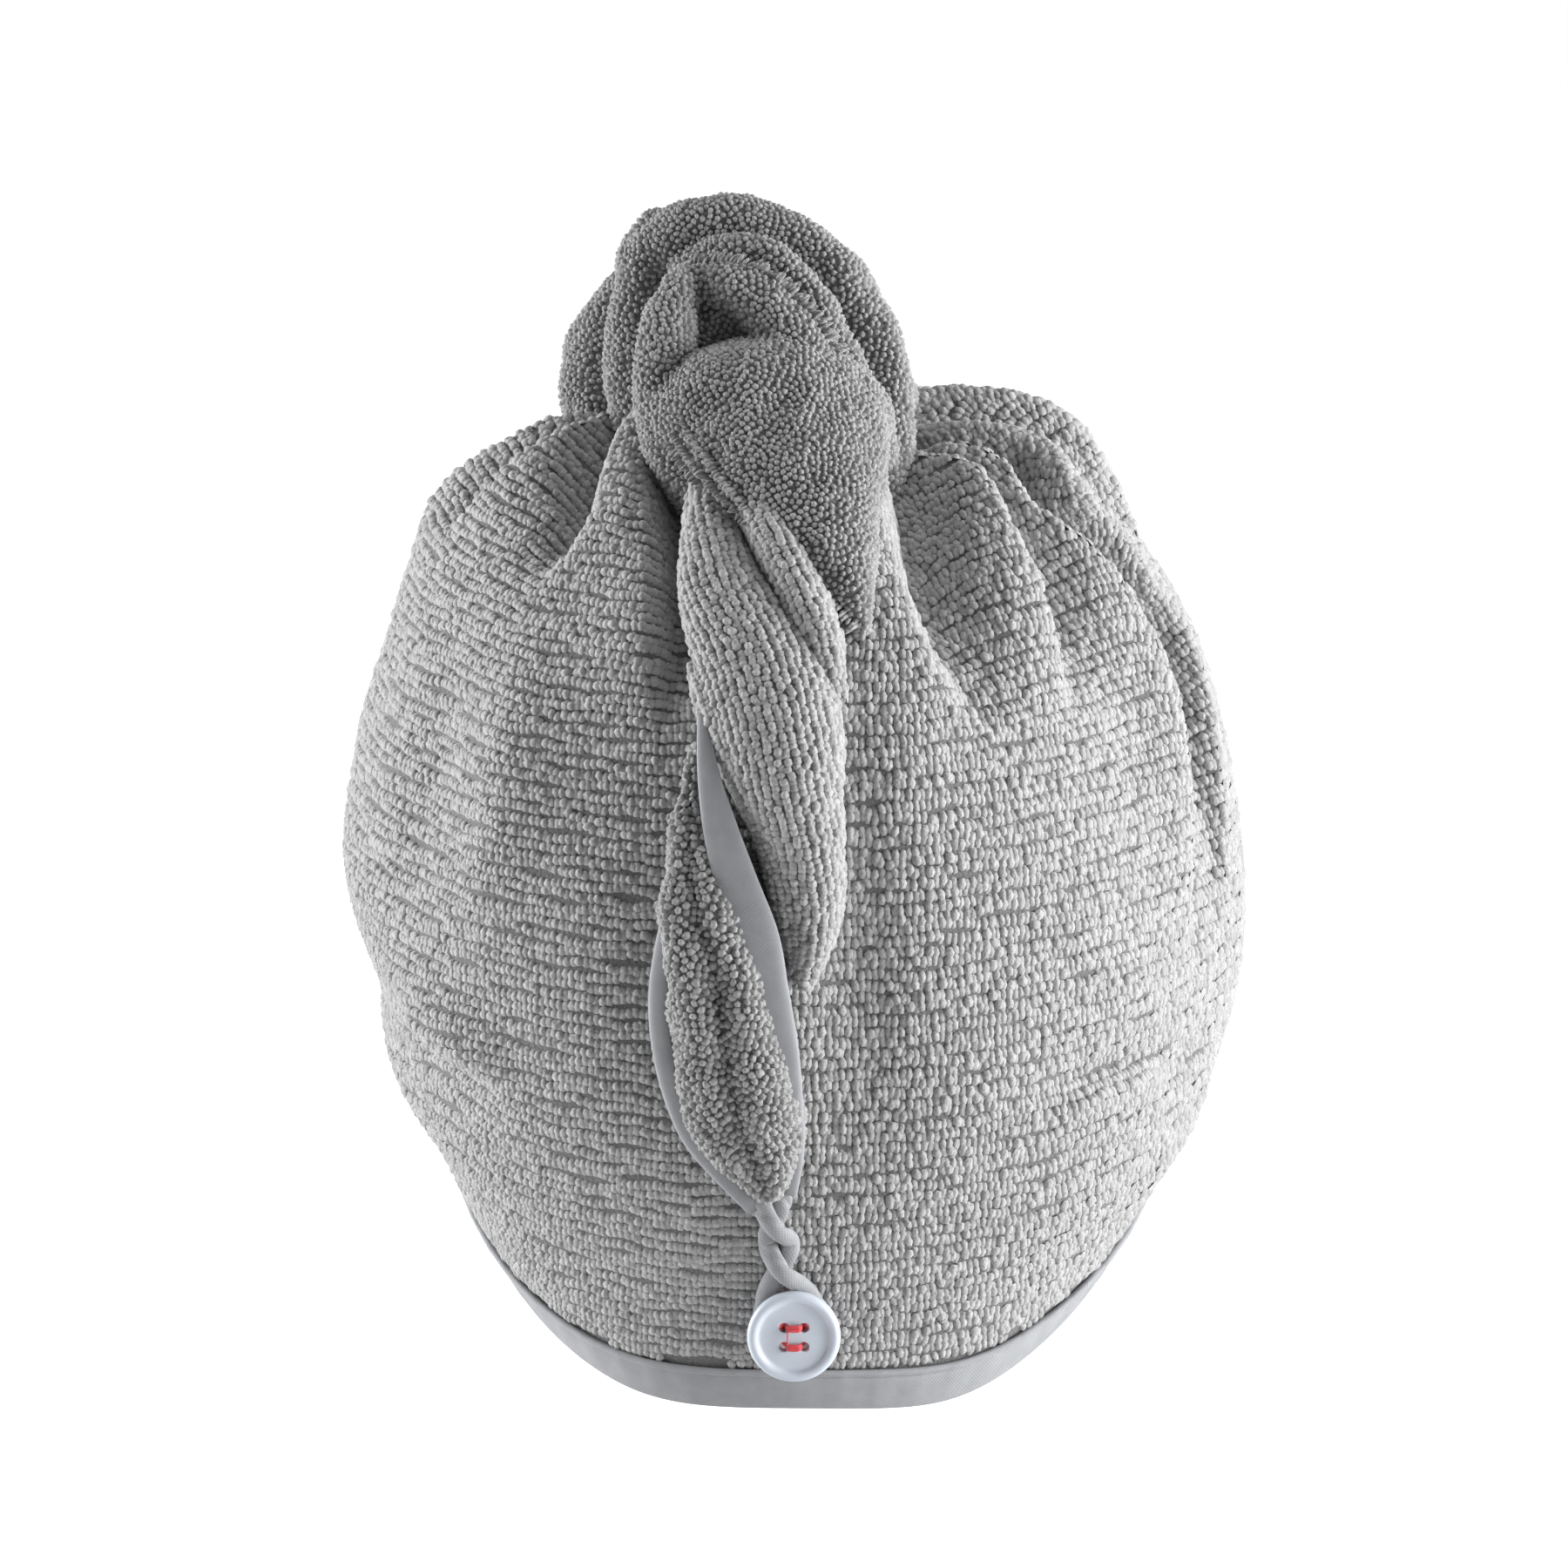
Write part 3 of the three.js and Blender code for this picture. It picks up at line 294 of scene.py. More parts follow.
def fold_height(azimuth, level):
    """How far folds, pleats and swellings lift the cloth off the unfolded shell, in mm."""
    azimuth, level = np.broadcast_arrays(np.asarray(azimuth, float), np.asarray(level, float))
    radius = half_shares(level).mean(-1) * HOOD["width"] / 2
    height = np.zeros(azimuth.shape)
    for depth, width, lip, path in CREASES:
        keys, places = np.array(path, float).T
        share = (level - keys[0]) / (keys[-1] - keys[0])
        away = np.radians(wrapped(azimuth - curve(keys, places, level))) * radius
        depths = crease_height(depth, width, lip, away) * smooth(share, 0, 0.45)
        height += np.where(share < 0, 0, depths)
    for depth, width, lip, path in CROSS_CREASES:
        keys, places = np.array(path, float).T
        share = (wrapped(azimuth) - keys[0]) / (keys[-1] - keys[0])
        away = (level - curve(keys, places, wrapped(azimuth))) * MERIDIAN
        fade = smooth(share, 0, 0.4) * (1 - smooth(share, 0.6, 1))
        depths = crease_height(depth, width, lip, away) * fade
        height += np.where((share < 0) | (share > 1), 0, depths)
    pleats = FRONT_PLEATS
    for place in np.linspace(pleats["first"], pleats["last"], pleats["count"]):
        away = np.radians(wrapped(azimuth - place)) * radius
        valley = bell(away / (pleats["width"] * HOOD["width"]))
        height -= pleats["depth"] * valley * smooth(level, pleats["reach"], pleats["full"])
    height *= HOOD["pleat"]
    for place, middle, rise, around, along in SWELLINGS:
        height += rise * bell(wrapped(azimuth - place) / around) * bell((level - middle) / along)
    return height


def cloth_point(azimuth, level, off=0.0):
    height = fold_height(azimuth, level) + off
    return shell_point(azimuth, level) + shell_normal(azimuth, level) * height[..., None]


HALVINGS = 24


def back_place(x, z):
    """The unfolded shell's place on the back with this x and z, and its normal, by halving."""
    x, z = np.asarray(x, float), np.asarray(z, float)
    low, high = np.zeros(x.shape), np.ones(x.shape)
    for _ in range(HALVINGS):
        level = (low + high) / 2
        halves = half_shares(level)
        half = np.where(x > 0, halves[..., 1], halves[..., 0]) * HOOD["width"] / 2
        azimuth = np.degrees(np.arcsin(np.clip(x / half, -1, 1)))
        under = shell_point(azimuth, level)[..., 2] < z
        low, high = np.where(under, level, low), np.where(under, high, level)
    return shell_point(azimuth, low), shell_normal(azimuth, low)


print("deepest fold:", round(float(fold_height(np.arange(-180.0, 180), 0.95).min()), 1), "mm")

# %% [markdown]
# ## Turning rings of points into closed meshes
# Nearly every piece here is a tube of some kind: the doubled cloth of the hood, the folded band,
# the lobes and rolls, the cord. One helper joins rings of points, closes the ends, turns the faces
# outwards by the sign of the volume, and lays a UV map in millimetres, so a weave follows the cloth.

# %% Meshes from rings
def new_object(name, mesh, material=None):
    thing = bpy.data.objects.new(name, mesh)
    bpy.context.scene.collection.objects.link(thing)
    if material:
        mesh.materials.append(material)
    return thing


def mesh_of(name, points, faces, uv=None):
    mesh = bpy.data.meshes.new(name)
    mesh.from_pydata((np.asarray(points, float) * MM).tolist(), [], faces)
    mesh.shade_smooth()
    if uv is not None:
        mesh.uv_layers.new(name="cloth").data.foreach_set("uv", np.ravel(uv))
    mesh.validate()
    return mesh


def tube(name, rings, looped=False):
    """A closed mesh through rings: looped joins the last ring to the first, else ends are capped."""
    rings = np.asarray(rings, float)
    count, around = rings.shape[:2]
    i, j = np.meshgrid(np.arange(count if looped else count - 1), np.arange(around), indexing="ij")
    corners = [(i, j), (i, j + 1), (i + 1, j + 1), (i + 1, j)]
    quads = np.stack([(a % count) * around + b % around for a, b in corners], -1).reshape(-1, 4)
    u = travelled(np.concatenate([rings[count // 2], rings[count // 2, :1]]))
    steps = np.linalg.norm(np.diff(np.concatenate([rings, rings[:1]]), axis=0), axis=-1)
    v = np.concatenate([[0], np.cumsum(steps.mean(1))])
    uv = np.stack([np.stack([u[b], v[a]], -1) for a, b in corners], 2).reshape(-1, 4, 2)
    points = rings.reshape(-1, 3)
    middle = points.mean(0)
    a, b, c, d = (points[quads[:, k]] - middle for k in range(4))
    volume = np.einsum("ij,ij->", a, np.cross(b, c)) + np.einsum("ij,ij->", a, np.cross(c, d))
    flip = volume < 0
    if flip:
        quads, uv = quads[:, ::-1], uv[:, ::-1]
    faces, corners_uv = quads.tolist(), [uv.reshape(-1, 2)]
    if not looped:
        for ring, reverse in ((0, not flip), (count - 1, flip)):
            centre = len(points)
            points = np.vstack([points, rings[ring].mean(0)])
            for k in range(around):
                a, b = ring * around + k, ring * around + (k + 1) % around
                faces.append([b, a, centre] if reverse else [a, b, centre])
                corners_uv.append(np.array([[u[k], v[ring]]] * 3))
    return mesh_of(name, points, faces, np.concatenate(corners_uv))


def triangles(mesh):
    return len(mesh.loops) - 2 * len(mesh.polygons)


def dress(thing, material):
    """One material over the whole piece."""
    thing.data.materials.clear()
    thing.data.materials.append(material)


# %% Padded strands
END_LIFTS = (0.35, 0.65, 0.87, 0.97)  # the rings of a rounded end, as shares of its reach


def fine_stations(rows, spacing):
    """Rows of centre, out and half sizes, resampled smoothly by distance along their centres."""
    rows = np.asarray(rows, float)
    keys = travelled(rows[:, :3])
    return curve(keys, rows, np.linspace(0, keys[-1], max(int(keys[-1] / spacing), 8)))


def strand_frames(stations):
    run = unit(np.gradient(stations[:, :3], axis=0))
    across = unit(np.cross(run, stations[:, 3:6]))
    return run, across, unit(np.cross(across, run))


def strand_rings(stations, sides):
    """Rings of an oval strand, with rounded ends that close it like a sewn tip."""
    run, across, out = strand_frames(stations)
    turn = circle(sides)
    wide = stations[:, 6, None, None] * np.cos(turn)[None, :, None] * across[:, None]
    thick = stations[:, 7, None, None] * np.sin(turn)[None, :, None] * out[:, None]
    section = wide + thick
    rings = stations[:, None, :3] + section
    ends = []
    for end, sign in ((0, -1), (-1, 1)):
        reach = min(stations[end, 6], stations[end, 7])
        for lift in END_LIFTS:
            shrink = math.sqrt(1 - lift**2)
            middle = stations[end, :3] + run[end] * sign * reach * lift
            ends.append(middle + section[end] * shrink)
    first, last = ends[: len(END_LIFTS)], ends[len(END_LIFTS) :]
    return np.concatenate([np.array(first)[::-1], rings, np.array(last)])


def laid_stations(rows, wide, thick, spacing=2.0):
    """Stations of a lobe or strip laid on the hood's back."""
    rows = np.asarray(rows, float)
    point, normal = back_place(
        TAIL["right"] + rows[:, 0] * TAIL["width"] / 2, TAIL["top"] - rows[:, 1] * TAIL_LENGTH
    )
    centre = point + normal * (rows[:, 2] * TAIL["thick"])[:, None]
    halves = np.stack([rows[:, 3] * wide / 2, rows[:, 4] * thick / 2], -1)
    return fine_stations(np.hstack([centre, normal, halves]), spacing)


def knot_place(rows):
    rows = np.asarray(rows, float)
    sizes = np.array([KNOT["width"], KNOT["depth"], KNOT["height"]])
    return np.array([KNOT["right"], KNOT["front"], 0]) + rows[:, :3] * sizes


# The knot's rolls face away from a point low in its middle
heart = np.array([KNOT["right"], KNOT["front"], KNOT["height"] * 0.3])


def roll_stations(rows, spacing=2.0):
    centre = knot_place(rows)
    halves = np.asarray(rows)[:, 3:5] * KNOT["roll"] / 2
    return fine_stations(np.hstack([centre, unit(centre - heart), halves]), spacing)


def lobe_stations(rows):
    return laid_stations(rows, TAIL["width"], TAIL["thick"])


main_lobe = lobe_stations(TWIST_LOBES[1])
print("main lobe:", len(main_lobe), "stations, widest", round(main_lobe[:, 6].max() * 2, 1), "mm")

# %% [markdown]
# ## Cloth finishes
# Terry is matt and a little dusty at grazing angles, because its loops scatter light sideways. The
# sheen of the shader does that, and it is set as a plain number on the shader's own socket. Two
# effects are shared by several cloths, so they are node groups: fibre, which varies the grey at two
# scales, roughens the surface at the finer one and darkens its low spots as painted shade, and
# weave, the crossing threads of the binding, with painted shade in its furrows.

# %% Helpers for node trees
def add(tree, kind, links=None, **values):
    """A node with its properties, plain inputs and incoming links set."""
    node = tree.nodes.new(kind)
    for key, value in values.items():
        if hasattr(node, key):
            setattr(node, key, value)
        else:
            node.inputs[key.replace("_", " ")].default_value = value
    for key, source in (links or {}).items():
        tree.links.new(source, node.inputs[key])
    return node


SOCKET_KINDS = {float: "Float", int: "Int", tuple: "Color"}


def new_group(name, kind, inputs, outputs):
    """A group; each socket is given as its value, or as the name of its kind where it has none."""
    tree = bpy.data.node_groups.new(name, kind)
    for in_out, sockets in (("INPUT", inputs), ("OUTPUT", outputs)):
        for label, value in sockets.items():
            plain = type(value) in SOCKET_KINDS
            socket = "NodeSocket" + (SOCKET_KINDS[type(value)] if plain else value)
            made = tree.interface.new_socket(name=label, in_out=in_out, socket_type=socket)
            if plain:
                made.default_value = value
    return tree, tree.nodes.new("NodeGroupInput"), tree.nodes.new("NodeGroupOutput")


def mixed_colour(tree, factor, low, high, blend="MIX"):
    """A colour mix; each of factor, low and high is a socket or a plain value."""
    node = tree.nodes.new("ShaderNodeMix")
    node.data_type = "RGBA"
    node.blend_type = blend
    for index, value in ((0, factor), (6, low), (7, high)):
        if isinstance(value, bpy.types.NodeSocket):
            tree.links.new(value, node.inputs[index])
        else:
            node.inputs[index].default_value = value
    return node.outputs[2]


def scalar(tree, operation, *values, clamp=False):
    node = tree.nodes.new("ShaderNodeMath")
    node.operation = operation
    node.use_clamp = clamp
    for i, value in enumerate(values):
        if isinstance(value, bpy.types.NodeSocket):
            tree.links.new(value, node.inputs[i])
        else:
            node.inputs[i].default_value = value
    return node.outputs[0]


# %% Fibre group
# Grain and Drift are the scales of its fine flecks and of its slow clouds
fibre, entry, leave = new_group(
    "fibre",
    "ShaderNodeTree",
    dict(Colour=(0.4, 0.4, 0.4, 1), Pits=(0.2, 0.2, 0.2, 1), Grain=1400.0, Drift=60.0, Roughness=0.75),
    dict(Colour="Color", Normal="Vector"),
)
place = add(fibre, "ShaderNodeTexCoord").outputs["Object"]
grain = add(fibre, "ShaderNodeTexNoise", {"Vector": place, "Scale": entry.outputs["Grain"]}, Detail=3.0)
drift = add(fibre, "ShaderNodeTexNoise", {"Vector": place, "Scale": entry.outputs["Drift"]}, Detail=2.0)
# Flecks have a strong contrast and clouds little, and the grey follows both. The flecks come from the same
# noise as the bump, so the darker colour is painted shade in the bump's low spots as well as a random fleck
# tone.
fleck = scalar(fibre, "MULTIPLY_ADD", grain.outputs[0], 2.2, -0.5, clamp=True)
cloudy = scalar(fibre, "MULTIPLY_ADD", drift.outputs[0], 1.2, -0.1, clamp=True)
both = scalar(fibre, "MULTIPLY_ADD", cloudy, 0.4, scalar(fibre, "MULTIPLY", fleck, 0.6), clamp=True)
shade = mixed_colour(fibre, both, entry.outputs["Pits"], entry.outputs["Colour"])
bump = add(
    fibre,
    "ShaderNodeBump",
    {"Strength": entry.outputs["Roughness"], "Height": grain.outputs[0]},
    Distance=0.0006,
)
fibre.links.new(shade, leave.inputs["Colour"])
fibre.links.new(bump.outputs[0], leave.inputs["Normal"])
print("fibre group has", len(fibre.nodes), "nodes")

# %% Weave group
weave, entry, leave = new_group(
    "weave",
    "ShaderNodeTree",
    dict(Colour=(0.4, 0.4, 0.42, 1), Furrow=(0.28, 0.28, 0.3, 1), Pitch=0.6, Strength=0.4),
    dict(Colour="Color", Normal="Vector"),
)
place = add(weave, "ShaderNodeUVMap", uv_map="cloth").outputs[0]
apart = add(weave, "ShaderNodeSeparateXYZ", {0: place})
turns = scalar(weave, "DIVIDE", 2 * math.pi, entry.outputs["Pitch"])
weft = scalar(weave, "SINE", scalar(weave, "MULTIPLY", apart.outputs[0], turns))
warp = scalar(weave, "SINE", scalar(weave, "MULTIPLY", apart.outputs[1], turns))
crossing = scalar(weave, "MULTIPLY_ADD", scalar(weave, "MULTIPLY", weft, warp), 0.5, 0.5)
object_place = add(weave, "ShaderNodeTexCoord").outputs["Object"]
slub = add(weave, "ShaderNodeTexNoise", {"Vector": object_place}, Scale=220.0, Detail=3.0)
raised = scalar(weave, "MULTIPLY_ADD", slub.outputs[0], 0.9, scalar(weave, "MULTIPLY", crossing, 0.6))
# The colour falls to the darker one where the weave's bump is low: painted shade in the furrows between
# threads, along with the slub's random tone.
shade = mixed_colour(
    weave,
    scalar(weave, "MULTIPLY_ADD", raised, 1.1, -0.2, clamp=True),
    entry.outputs["Furrow"],
    entry.outputs["Colour"],
)
bump = add(
    weave, "ShaderNodeBump", {"Strength": entry.outputs["Strength"], "Height": raised}, Distance=0.0003
)
weave.links.new(shade, leave.inputs["Colour"])
weave.links.new(bump.outputs[0], leave.inputs["Normal"])
print("weave group has", len(weave.nodes), "nodes")

# %% Materials of cloth
def new_material(name, **shader):
    material = bpy.data.materials.new(name)
    material.use_nodes = True
    principled = material.node_tree.nodes["Principled BSDF"]
    for key, value in shader.items():
        principled.inputs[key.replace("_", " ")].default_value = value
    return material, material.node_tree, principled


def grey(value, blue=1.0):
    return (value, value * (1 + (blue - 1) / 3), value * blue, 1)


def terry_material(name, colour, pit_shade, toned):
    """Terry cloth; toned reads each loop's own tone, so that neighbours differ a little."""
    material, tree, principled = new_material(
        name, Roughness=1.0, Sheen_Weight=0.35, Sheen_Roughness=0.45, Specular_IOR_Level=0.15
    )
    principled.inputs["Sheen Tint"].default_value = (1, 1, 1, 1)
    cloth = add(tree, "ShaderNodeGroup", node_tree=fibre, Colour=colour, Pits=pit_shade)
    shade = cloth.outputs["Colour"]
    if toned:
        tone = add(tree, "ShaderNodeAttribute", attribute_name="tone")
        lighter = mixed_colour(tree, tone.outputs["Fac"], (0.88, 0.88, 0.88, 1), (1.1, 1.1, 1.1, 1))
        shade = mixed_colour(tree, 1.0, shade, lighter, "MULTIPLY")
    tree.links.new(shade, principled.inputs["Base Color"])
    tree.links.new(cloth.outputs["Normal"], principled.inputs["Normal"])
    return material


def binding_material(name, colour, furrow_shade, pitch):
    material, tree, principled = new_material(
        name, Roughness=0.85, Sheen_Weight=0.25, Sheen_Roughness=0.4, Specular_IOR_Level=0.25
    )
    cloth = add(tree, "ShaderNodeGroup", node_tree=weave, Colour=colour, Furrow=furrow_shade, Pitch=pitch)
    tree.links.new(cloth.outputs["Colour"], principled.inputs["Base Color"])
    tree.links.new(cloth.outputs["Normal"], principled.inputs["Normal"])
    return material


# The ground under the loops and grains is painted far darker than the loops: painted shade in the gaps
# between them.
terry_ground = terry_material("terry_ground", grey(0.2), grey(0.12), False)
terry_loops = terry_material("terry_loops", grey(0.44), grey(0.36), True)
terry_pile = terry_material("terry_pile", grey(0.38), grey(0.3), True)
binding_cloth = binding_material("binding_cloth", grey(0.36, 1.07), grey(0.27, 1.07), 0.7)
cord_cloth = binding_material("cord_cloth", grey(0.36, 1.06), grey(0.25, 1.06), 0.9)
print("cloths:", [m.name for m in bpy.data.materials])

# %% [markdown]
# ## The hood
# The real hood is one towel folded and sewn into a cap, so it has an outer and an inner face with
# the cloth's thickness between. A single sheet with Solidify would do it too, but rings that run up
# the outside and down the inside make the wall at once, and the hem edge closes itself. The outside
# gets close rings, because its folds show, and the inside fewer. At the top the rim is drawn in
# under the knot, as the pleats run into the twist, so that no hole shows beside it.

# %% Hood cloth
azimuths = np.concatenate([np.arange(-90, 90, 0.6), np.arange(90, 270, 2.0)])
GROUND = -0.1  # the ground of the cloth lies just under the shell that the loops stand on
GATHER = dict(shares=(0.1, 0.2, 0.32, 0.46, 0.6), rise=5, thinning=0.6)


def hood_ring(level, off):
    return cloth_point(azimuths, np.full(len(azimuths), float(level)), off)


def gathered(rim, drop):
    """Rings that draw the rim in under the knot."""
    middle = np.array([KNOT["right"], 0, rim[:, 2].mean() + GATHER["rise"] - drop])
    return [rim + (middle - rim) * share for share in GATHER["shares"]]


outside = [hood_ring(level, GROUND) for level in np.linspace(0, 1, 130)]
inside = [hood_ring(level, -HOOD["cloth"]) for level in np.linspace(1, 0, 44)]
outer_gather = gathered(outside[-1], 0)
inner_gather = gathered(inside[0], HOOD["cloth"] * GATHER["thinning"])[::-1]
hood_rings = outside + outer_gather + inner_gather + inside
hood = new_object("hood_cloth", tube("hood_cloth", hood_rings, looped=True), terry_ground)
print("hood:", triangles(hood.data), "triangles")

# %% [markdown]
# ## Rows of terry loops
# Terry shows as rows of small upright loops. A bump texture would give the pattern but no outline,
# and hair would be lost on export. So each loop is a small low dome, and Geometry Nodes set them
# out: the script draws every row as a line across the cloth, parallel to the hem, the tree walks
# along it with even steps, stands a dome on each step along the cloth's own normal, and shakes
# place, turn and size with a fixed seed, because no real loop lies quite like its neighbour.

# %% One loop, as a dome
def dome(name, wide, long, tall, sides=6):
    """A low dome, wide along X and long along Y, that stands on the cloth."""
    turn = circle(sides)
    foot, shoulder = (1.12, -0.45), (0.8, 0.66)  # radius and height, as shares
    points = [
        (wide / 2 * r * math.cos(t), long / 2 * r * math.sin(t), tall * h)
        for r, h in (foot, shoulder)
        for t in turn
    ]
    points.append((0, 0, tall))
    faces = [[k, (k + 1) % sides, sides + (k + 1) % sides, sides + k] for k in range(sides)]
    faces += [[sides + k, sides + (k + 1) % sides, 2 * sides] for k in range(sides)]
    return new_object(name, mesh_of(name, points, faces))


loop_shape = dome("loop_shape", 2.1, 3.15, 0.66)
long_loop_shape = dome("long_loop_shape", 2.5, 2.6, 0.78)
print("one loop has", triangles(loop_shape.data), "triangles")

# %% Steps that both trees share
def random_vector(tree, seed, low, high):
    node = add(tree, "FunctionNodeRandomValue", {"Seed": seed}, data_type="FLOAT_VECTOR")
    node.inputs[0].default_value = low
    node.inputs[1].default_value = high
    return node.outputs[0]


def scaled(tree, vector, factor):
    return add(tree, "ShaderNodeVectorMath", {0: vector, "Scale": factor}, operation="SCALE").outputs[0]


def standing(tree, upward, forward, tilt):
    """A rotation that stands a shape along upward, faces it forward, and tilts it a little."""
    upright = add(
        tree, "FunctionNodeAxesToRotation", {0: upward, 1: forward}, primary_axis="Z", secondary_axis="X"
    )
    turn = add(tree, "FunctionNodeEulerToRotation", {0: tilt})
    links = {0: upright.outputs[0], 1: turn.outputs[0]}
    return add(tree, "FunctionNodeRotateRotation", links, rotation_space="LOCAL").outputs[0]


def finish_tree(tree, entry, leave, shape, points, rotation, size):
    """Puts a shape on each point, gives it a tone of its own, and makes real meshes with a finish."""
    model = add(tree, "GeometryNodeObjectInfo", {"Object": entry.outputs[shape]})
    links = {"Points": points, "Instance": model.outputs["Geometry"], "Rotation": rotation, "Scale": size}
    placed = add(tree, "GeometryNodeInstanceOnPoints", links)
    tone = add(tree, "FunctionNodeRandomValue", {"Seed": entry.outputs["Seed"]}, data_type="FLOAT")
    kept = add(
        tree,
        "GeometryNodeStoreNamedAttribute",
        {0: placed.outputs[0], "Value": tone.outputs[1]},
        data_type="FLOAT",
        domain="INSTANCE",
        Name="tone",
    )
    real = add(tree, "GeometryNodeRealizeInstances", {0: kept.outputs[0]})
    links = {0: real.outputs[0], "Material": entry.outputs["Finish"]}
    tree.links.new(add(tree, "GeometryNodeSetMaterial", links).outputs[0], leave.inputs[0])
    return tree


print("shared steps: random vector, scaled, standing, finish")

# %% Tree that sets loops along rows
LOOP_TILT = (0.25, 0.2, 0.35)
LOOP_SIZES = (0.8, 0.86, 0.75), (1.15, 1.1, 1.2)


def row_tree():
    tree, entry, leave = new_group(
        "loops along rows",
        "GeometryNodeTree",
        dict(Rows="Geometry", Loop="Object", Spacing=0.0017, Shake=0.0003, Finish="Material", Seed=0),
        dict(Geometry="Geometry"),
    )
    seed = entry.outputs["Seed"]
    lines = add(tree, "GeometryNodeMeshToCurve", {"Mesh": entry.outputs["Rows"]})
    links = {"Curve": lines.outputs[0], "Length": entry.outputs["Spacing"]}
    walked = add(tree, "GeometryNodeResampleCurve", links, mode="LENGTH")
    away = scaled(tree, random_vector(tree, seed, (-1, -1, -1), (1, 1, 1)), entry.outputs["Shake"])
    moved = add(tree, "GeometryNodeSetPosition", {0: walked.outputs[0], "Offset": away})
    facing = add(tree, "GeometryNodeInputNamedAttribute", data_type="FLOAT_VECTOR", Name="facing")
    tangent = add(tree, "GeometryNodeInputTangent")
    tilt = random_vector(tree, seed, [-most for most in LOOP_TILT], LOOP_TILT)
    rotation = standing(tree, facing.outputs[0], tangent.outputs[0], tilt)
    size = random_vector(tree, seed, *LOOP_SIZES)
    return finish_tree(tree, entry, leave, "Loop", moved.outputs[0], rotation, size)


loops_on_rows = row_tree()
print("row tree has", len(loops_on_rows.nodes), "nodes")

# %% Running a tree and keeping its result as a plain mesh
def settled(thing):
    """Keeps what the modifiers make as the piece's own mesh."""
    bpy.context.view_layer.update()
    final = thing.evaluated_get(bpy.context.evaluated_depsgraph_get())
    made = bpy.data.meshes.new_from_object(final)
    thing.modifiers.clear()
    thing.data = made
    made.name = thing.name
    made.shade_smooth()
    return thing


def grown(name, base, tree, **inputs):
    """The mesh that a tree makes from an object's mesh, as an object of its own."""
    host = new_object(name, base)
    modifier = host.modifiers.new("tree", "NODES")
    modifier.node_group = tree
    sockets = {s.name: s.identifier for s in tree.interface.items_tree if s.in_out == "INPUT"}
    for label, value in inputs.items():
        modifier[sockets[label]] = value
    return settled(host)


def rows_mesh(name, lines):
    """Lines of points with the way each point faces, as loose edges."""
    points = np.concatenate([line for line, _ in lines])
    facing = np.concatenate([normal for _, normal in lines])
    edges, start = [], 0
    for line, _ in lines:
        edges += [(start + k, start + k + 1) for k in range(len(line) - 1)]
        start += len(line)
    mesh = bpy.data.meshes.new(name)
    mesh.from_pydata((points * MM).tolist(), edges, [])
    mesh.attributes.new("facing", "FLOAT_VECTOR", "POINT").data.foreach_set("vector", facing.ravel())
    return mesh


# %% Where the rows lie
ROW_PITCH = 2.55
grid_azimuths = np.linspace(-90, 270, 721)
grid_levels = np.linspace(0, 0.995, 420)
grid = cloth_point(grid_azimuths[:, None], grid_levels[None, :])
climb = np.cumsum(np.linalg.norm(np.diff(grid, axis=1), axis=-1), axis=1)
climb = np.concatenate([np.zeros((len(grid), 1)), climb], 1)
grid_normals = unit(np.cross(np.gradient(grid, axis=0), np.gradient(grid, axis=1)))

# One row lies nearly level around the head; the others keep their distance from it, and lie
# closer together where there is less cloth below it than at the middle of the back
flat_heights = shell_point(grid_azimuths[:, None], grid_levels[None, :])[..., 2]
LEVEL_ROW = dict(back=-100, rise_to_front=24)
CROWDING = dict(most=0.5, least_share=0.3)
level_row = LEVEL_ROW["back"] + LEVEL_ROW["rise_to_front"] * (1 - np.cos(np.radians(grid_azimuths))) / 2
middle_row = [np.interp(z, flat, rise) for z, flat, rise in zip(level_row, flat_heights, climb)]
middle_row = np.where(level_row < flat_heights[:, 0], level_row - flat_heights[:, 0], middle_row)
back_row = middle_row[np.flatnonzero(grid_azimuths == 0)[0]]
crowding = 1 - CROWDING["most"] * (1 - np.clip(middle_row / back_row, CROWDING["least_share"], 1))
print("the level row is", round(float(back_row)), "mm up the back from the hem")


# %% Rows across the hood
def runs_of(mask):
    """The unbroken stretches of a mask, as arrays of places."""
    places = np.flatnonzero(mask)
    return [run for run in np.split(places, np.flatnonzero(np.diff(places) > 1) + 1) if len(run) > 3]


ROWS_BELOW, ROWS_ABOVE = 54, 124
BAND_CLEARANCE = 1.2
SWINGS = ((9, 0.4), (21, 0.32), (47, 0.25))  # waves around the head, and how far each sways a row
SIDES = {"left": (-90, 0), "right": (0, 90), "front": (90, 270)}
draw = np.random.default_rng(7)
hood_rows = {side: [] for side in SIDES}
for count in range(-ROWS_BELOW, ROWS_ABOVE):
    height = middle_row + count * ROW_PITCH * (crowding if count < 0 else 1)
    for waves, swing in SWINGS:
        phase = np.radians(grid_azimuths) * waves + draw.uniform(0, 2 * np.pi)
        height = height + swing * np.sin(phase)
    levels = np.array([np.interp(h, rise, grid_levels) for h, rise in zip(height, climb)])
    line = cloth_point(grid_azimuths, levels)
    columns = np.clip(np.searchsorted(grid_levels, levels), 0, len(grid_levels) - 1)
    normals = grid_normals[np.arange(len(grid)), columns]
    shown = (height > BAND["height"] + BAND_CLEARANCE) & (height < climb[:, -1])
    for side, (low, high) in SIDES.items():
        mask = shown & (grid_azimuths >= low) & (grid_azimuths <= high)
        hood_rows[side] += [(line[run], normals[run]) for run in runs_of(mask)]
print("rows:", {side: len(lines) for side, lines in hood_rows.items()})

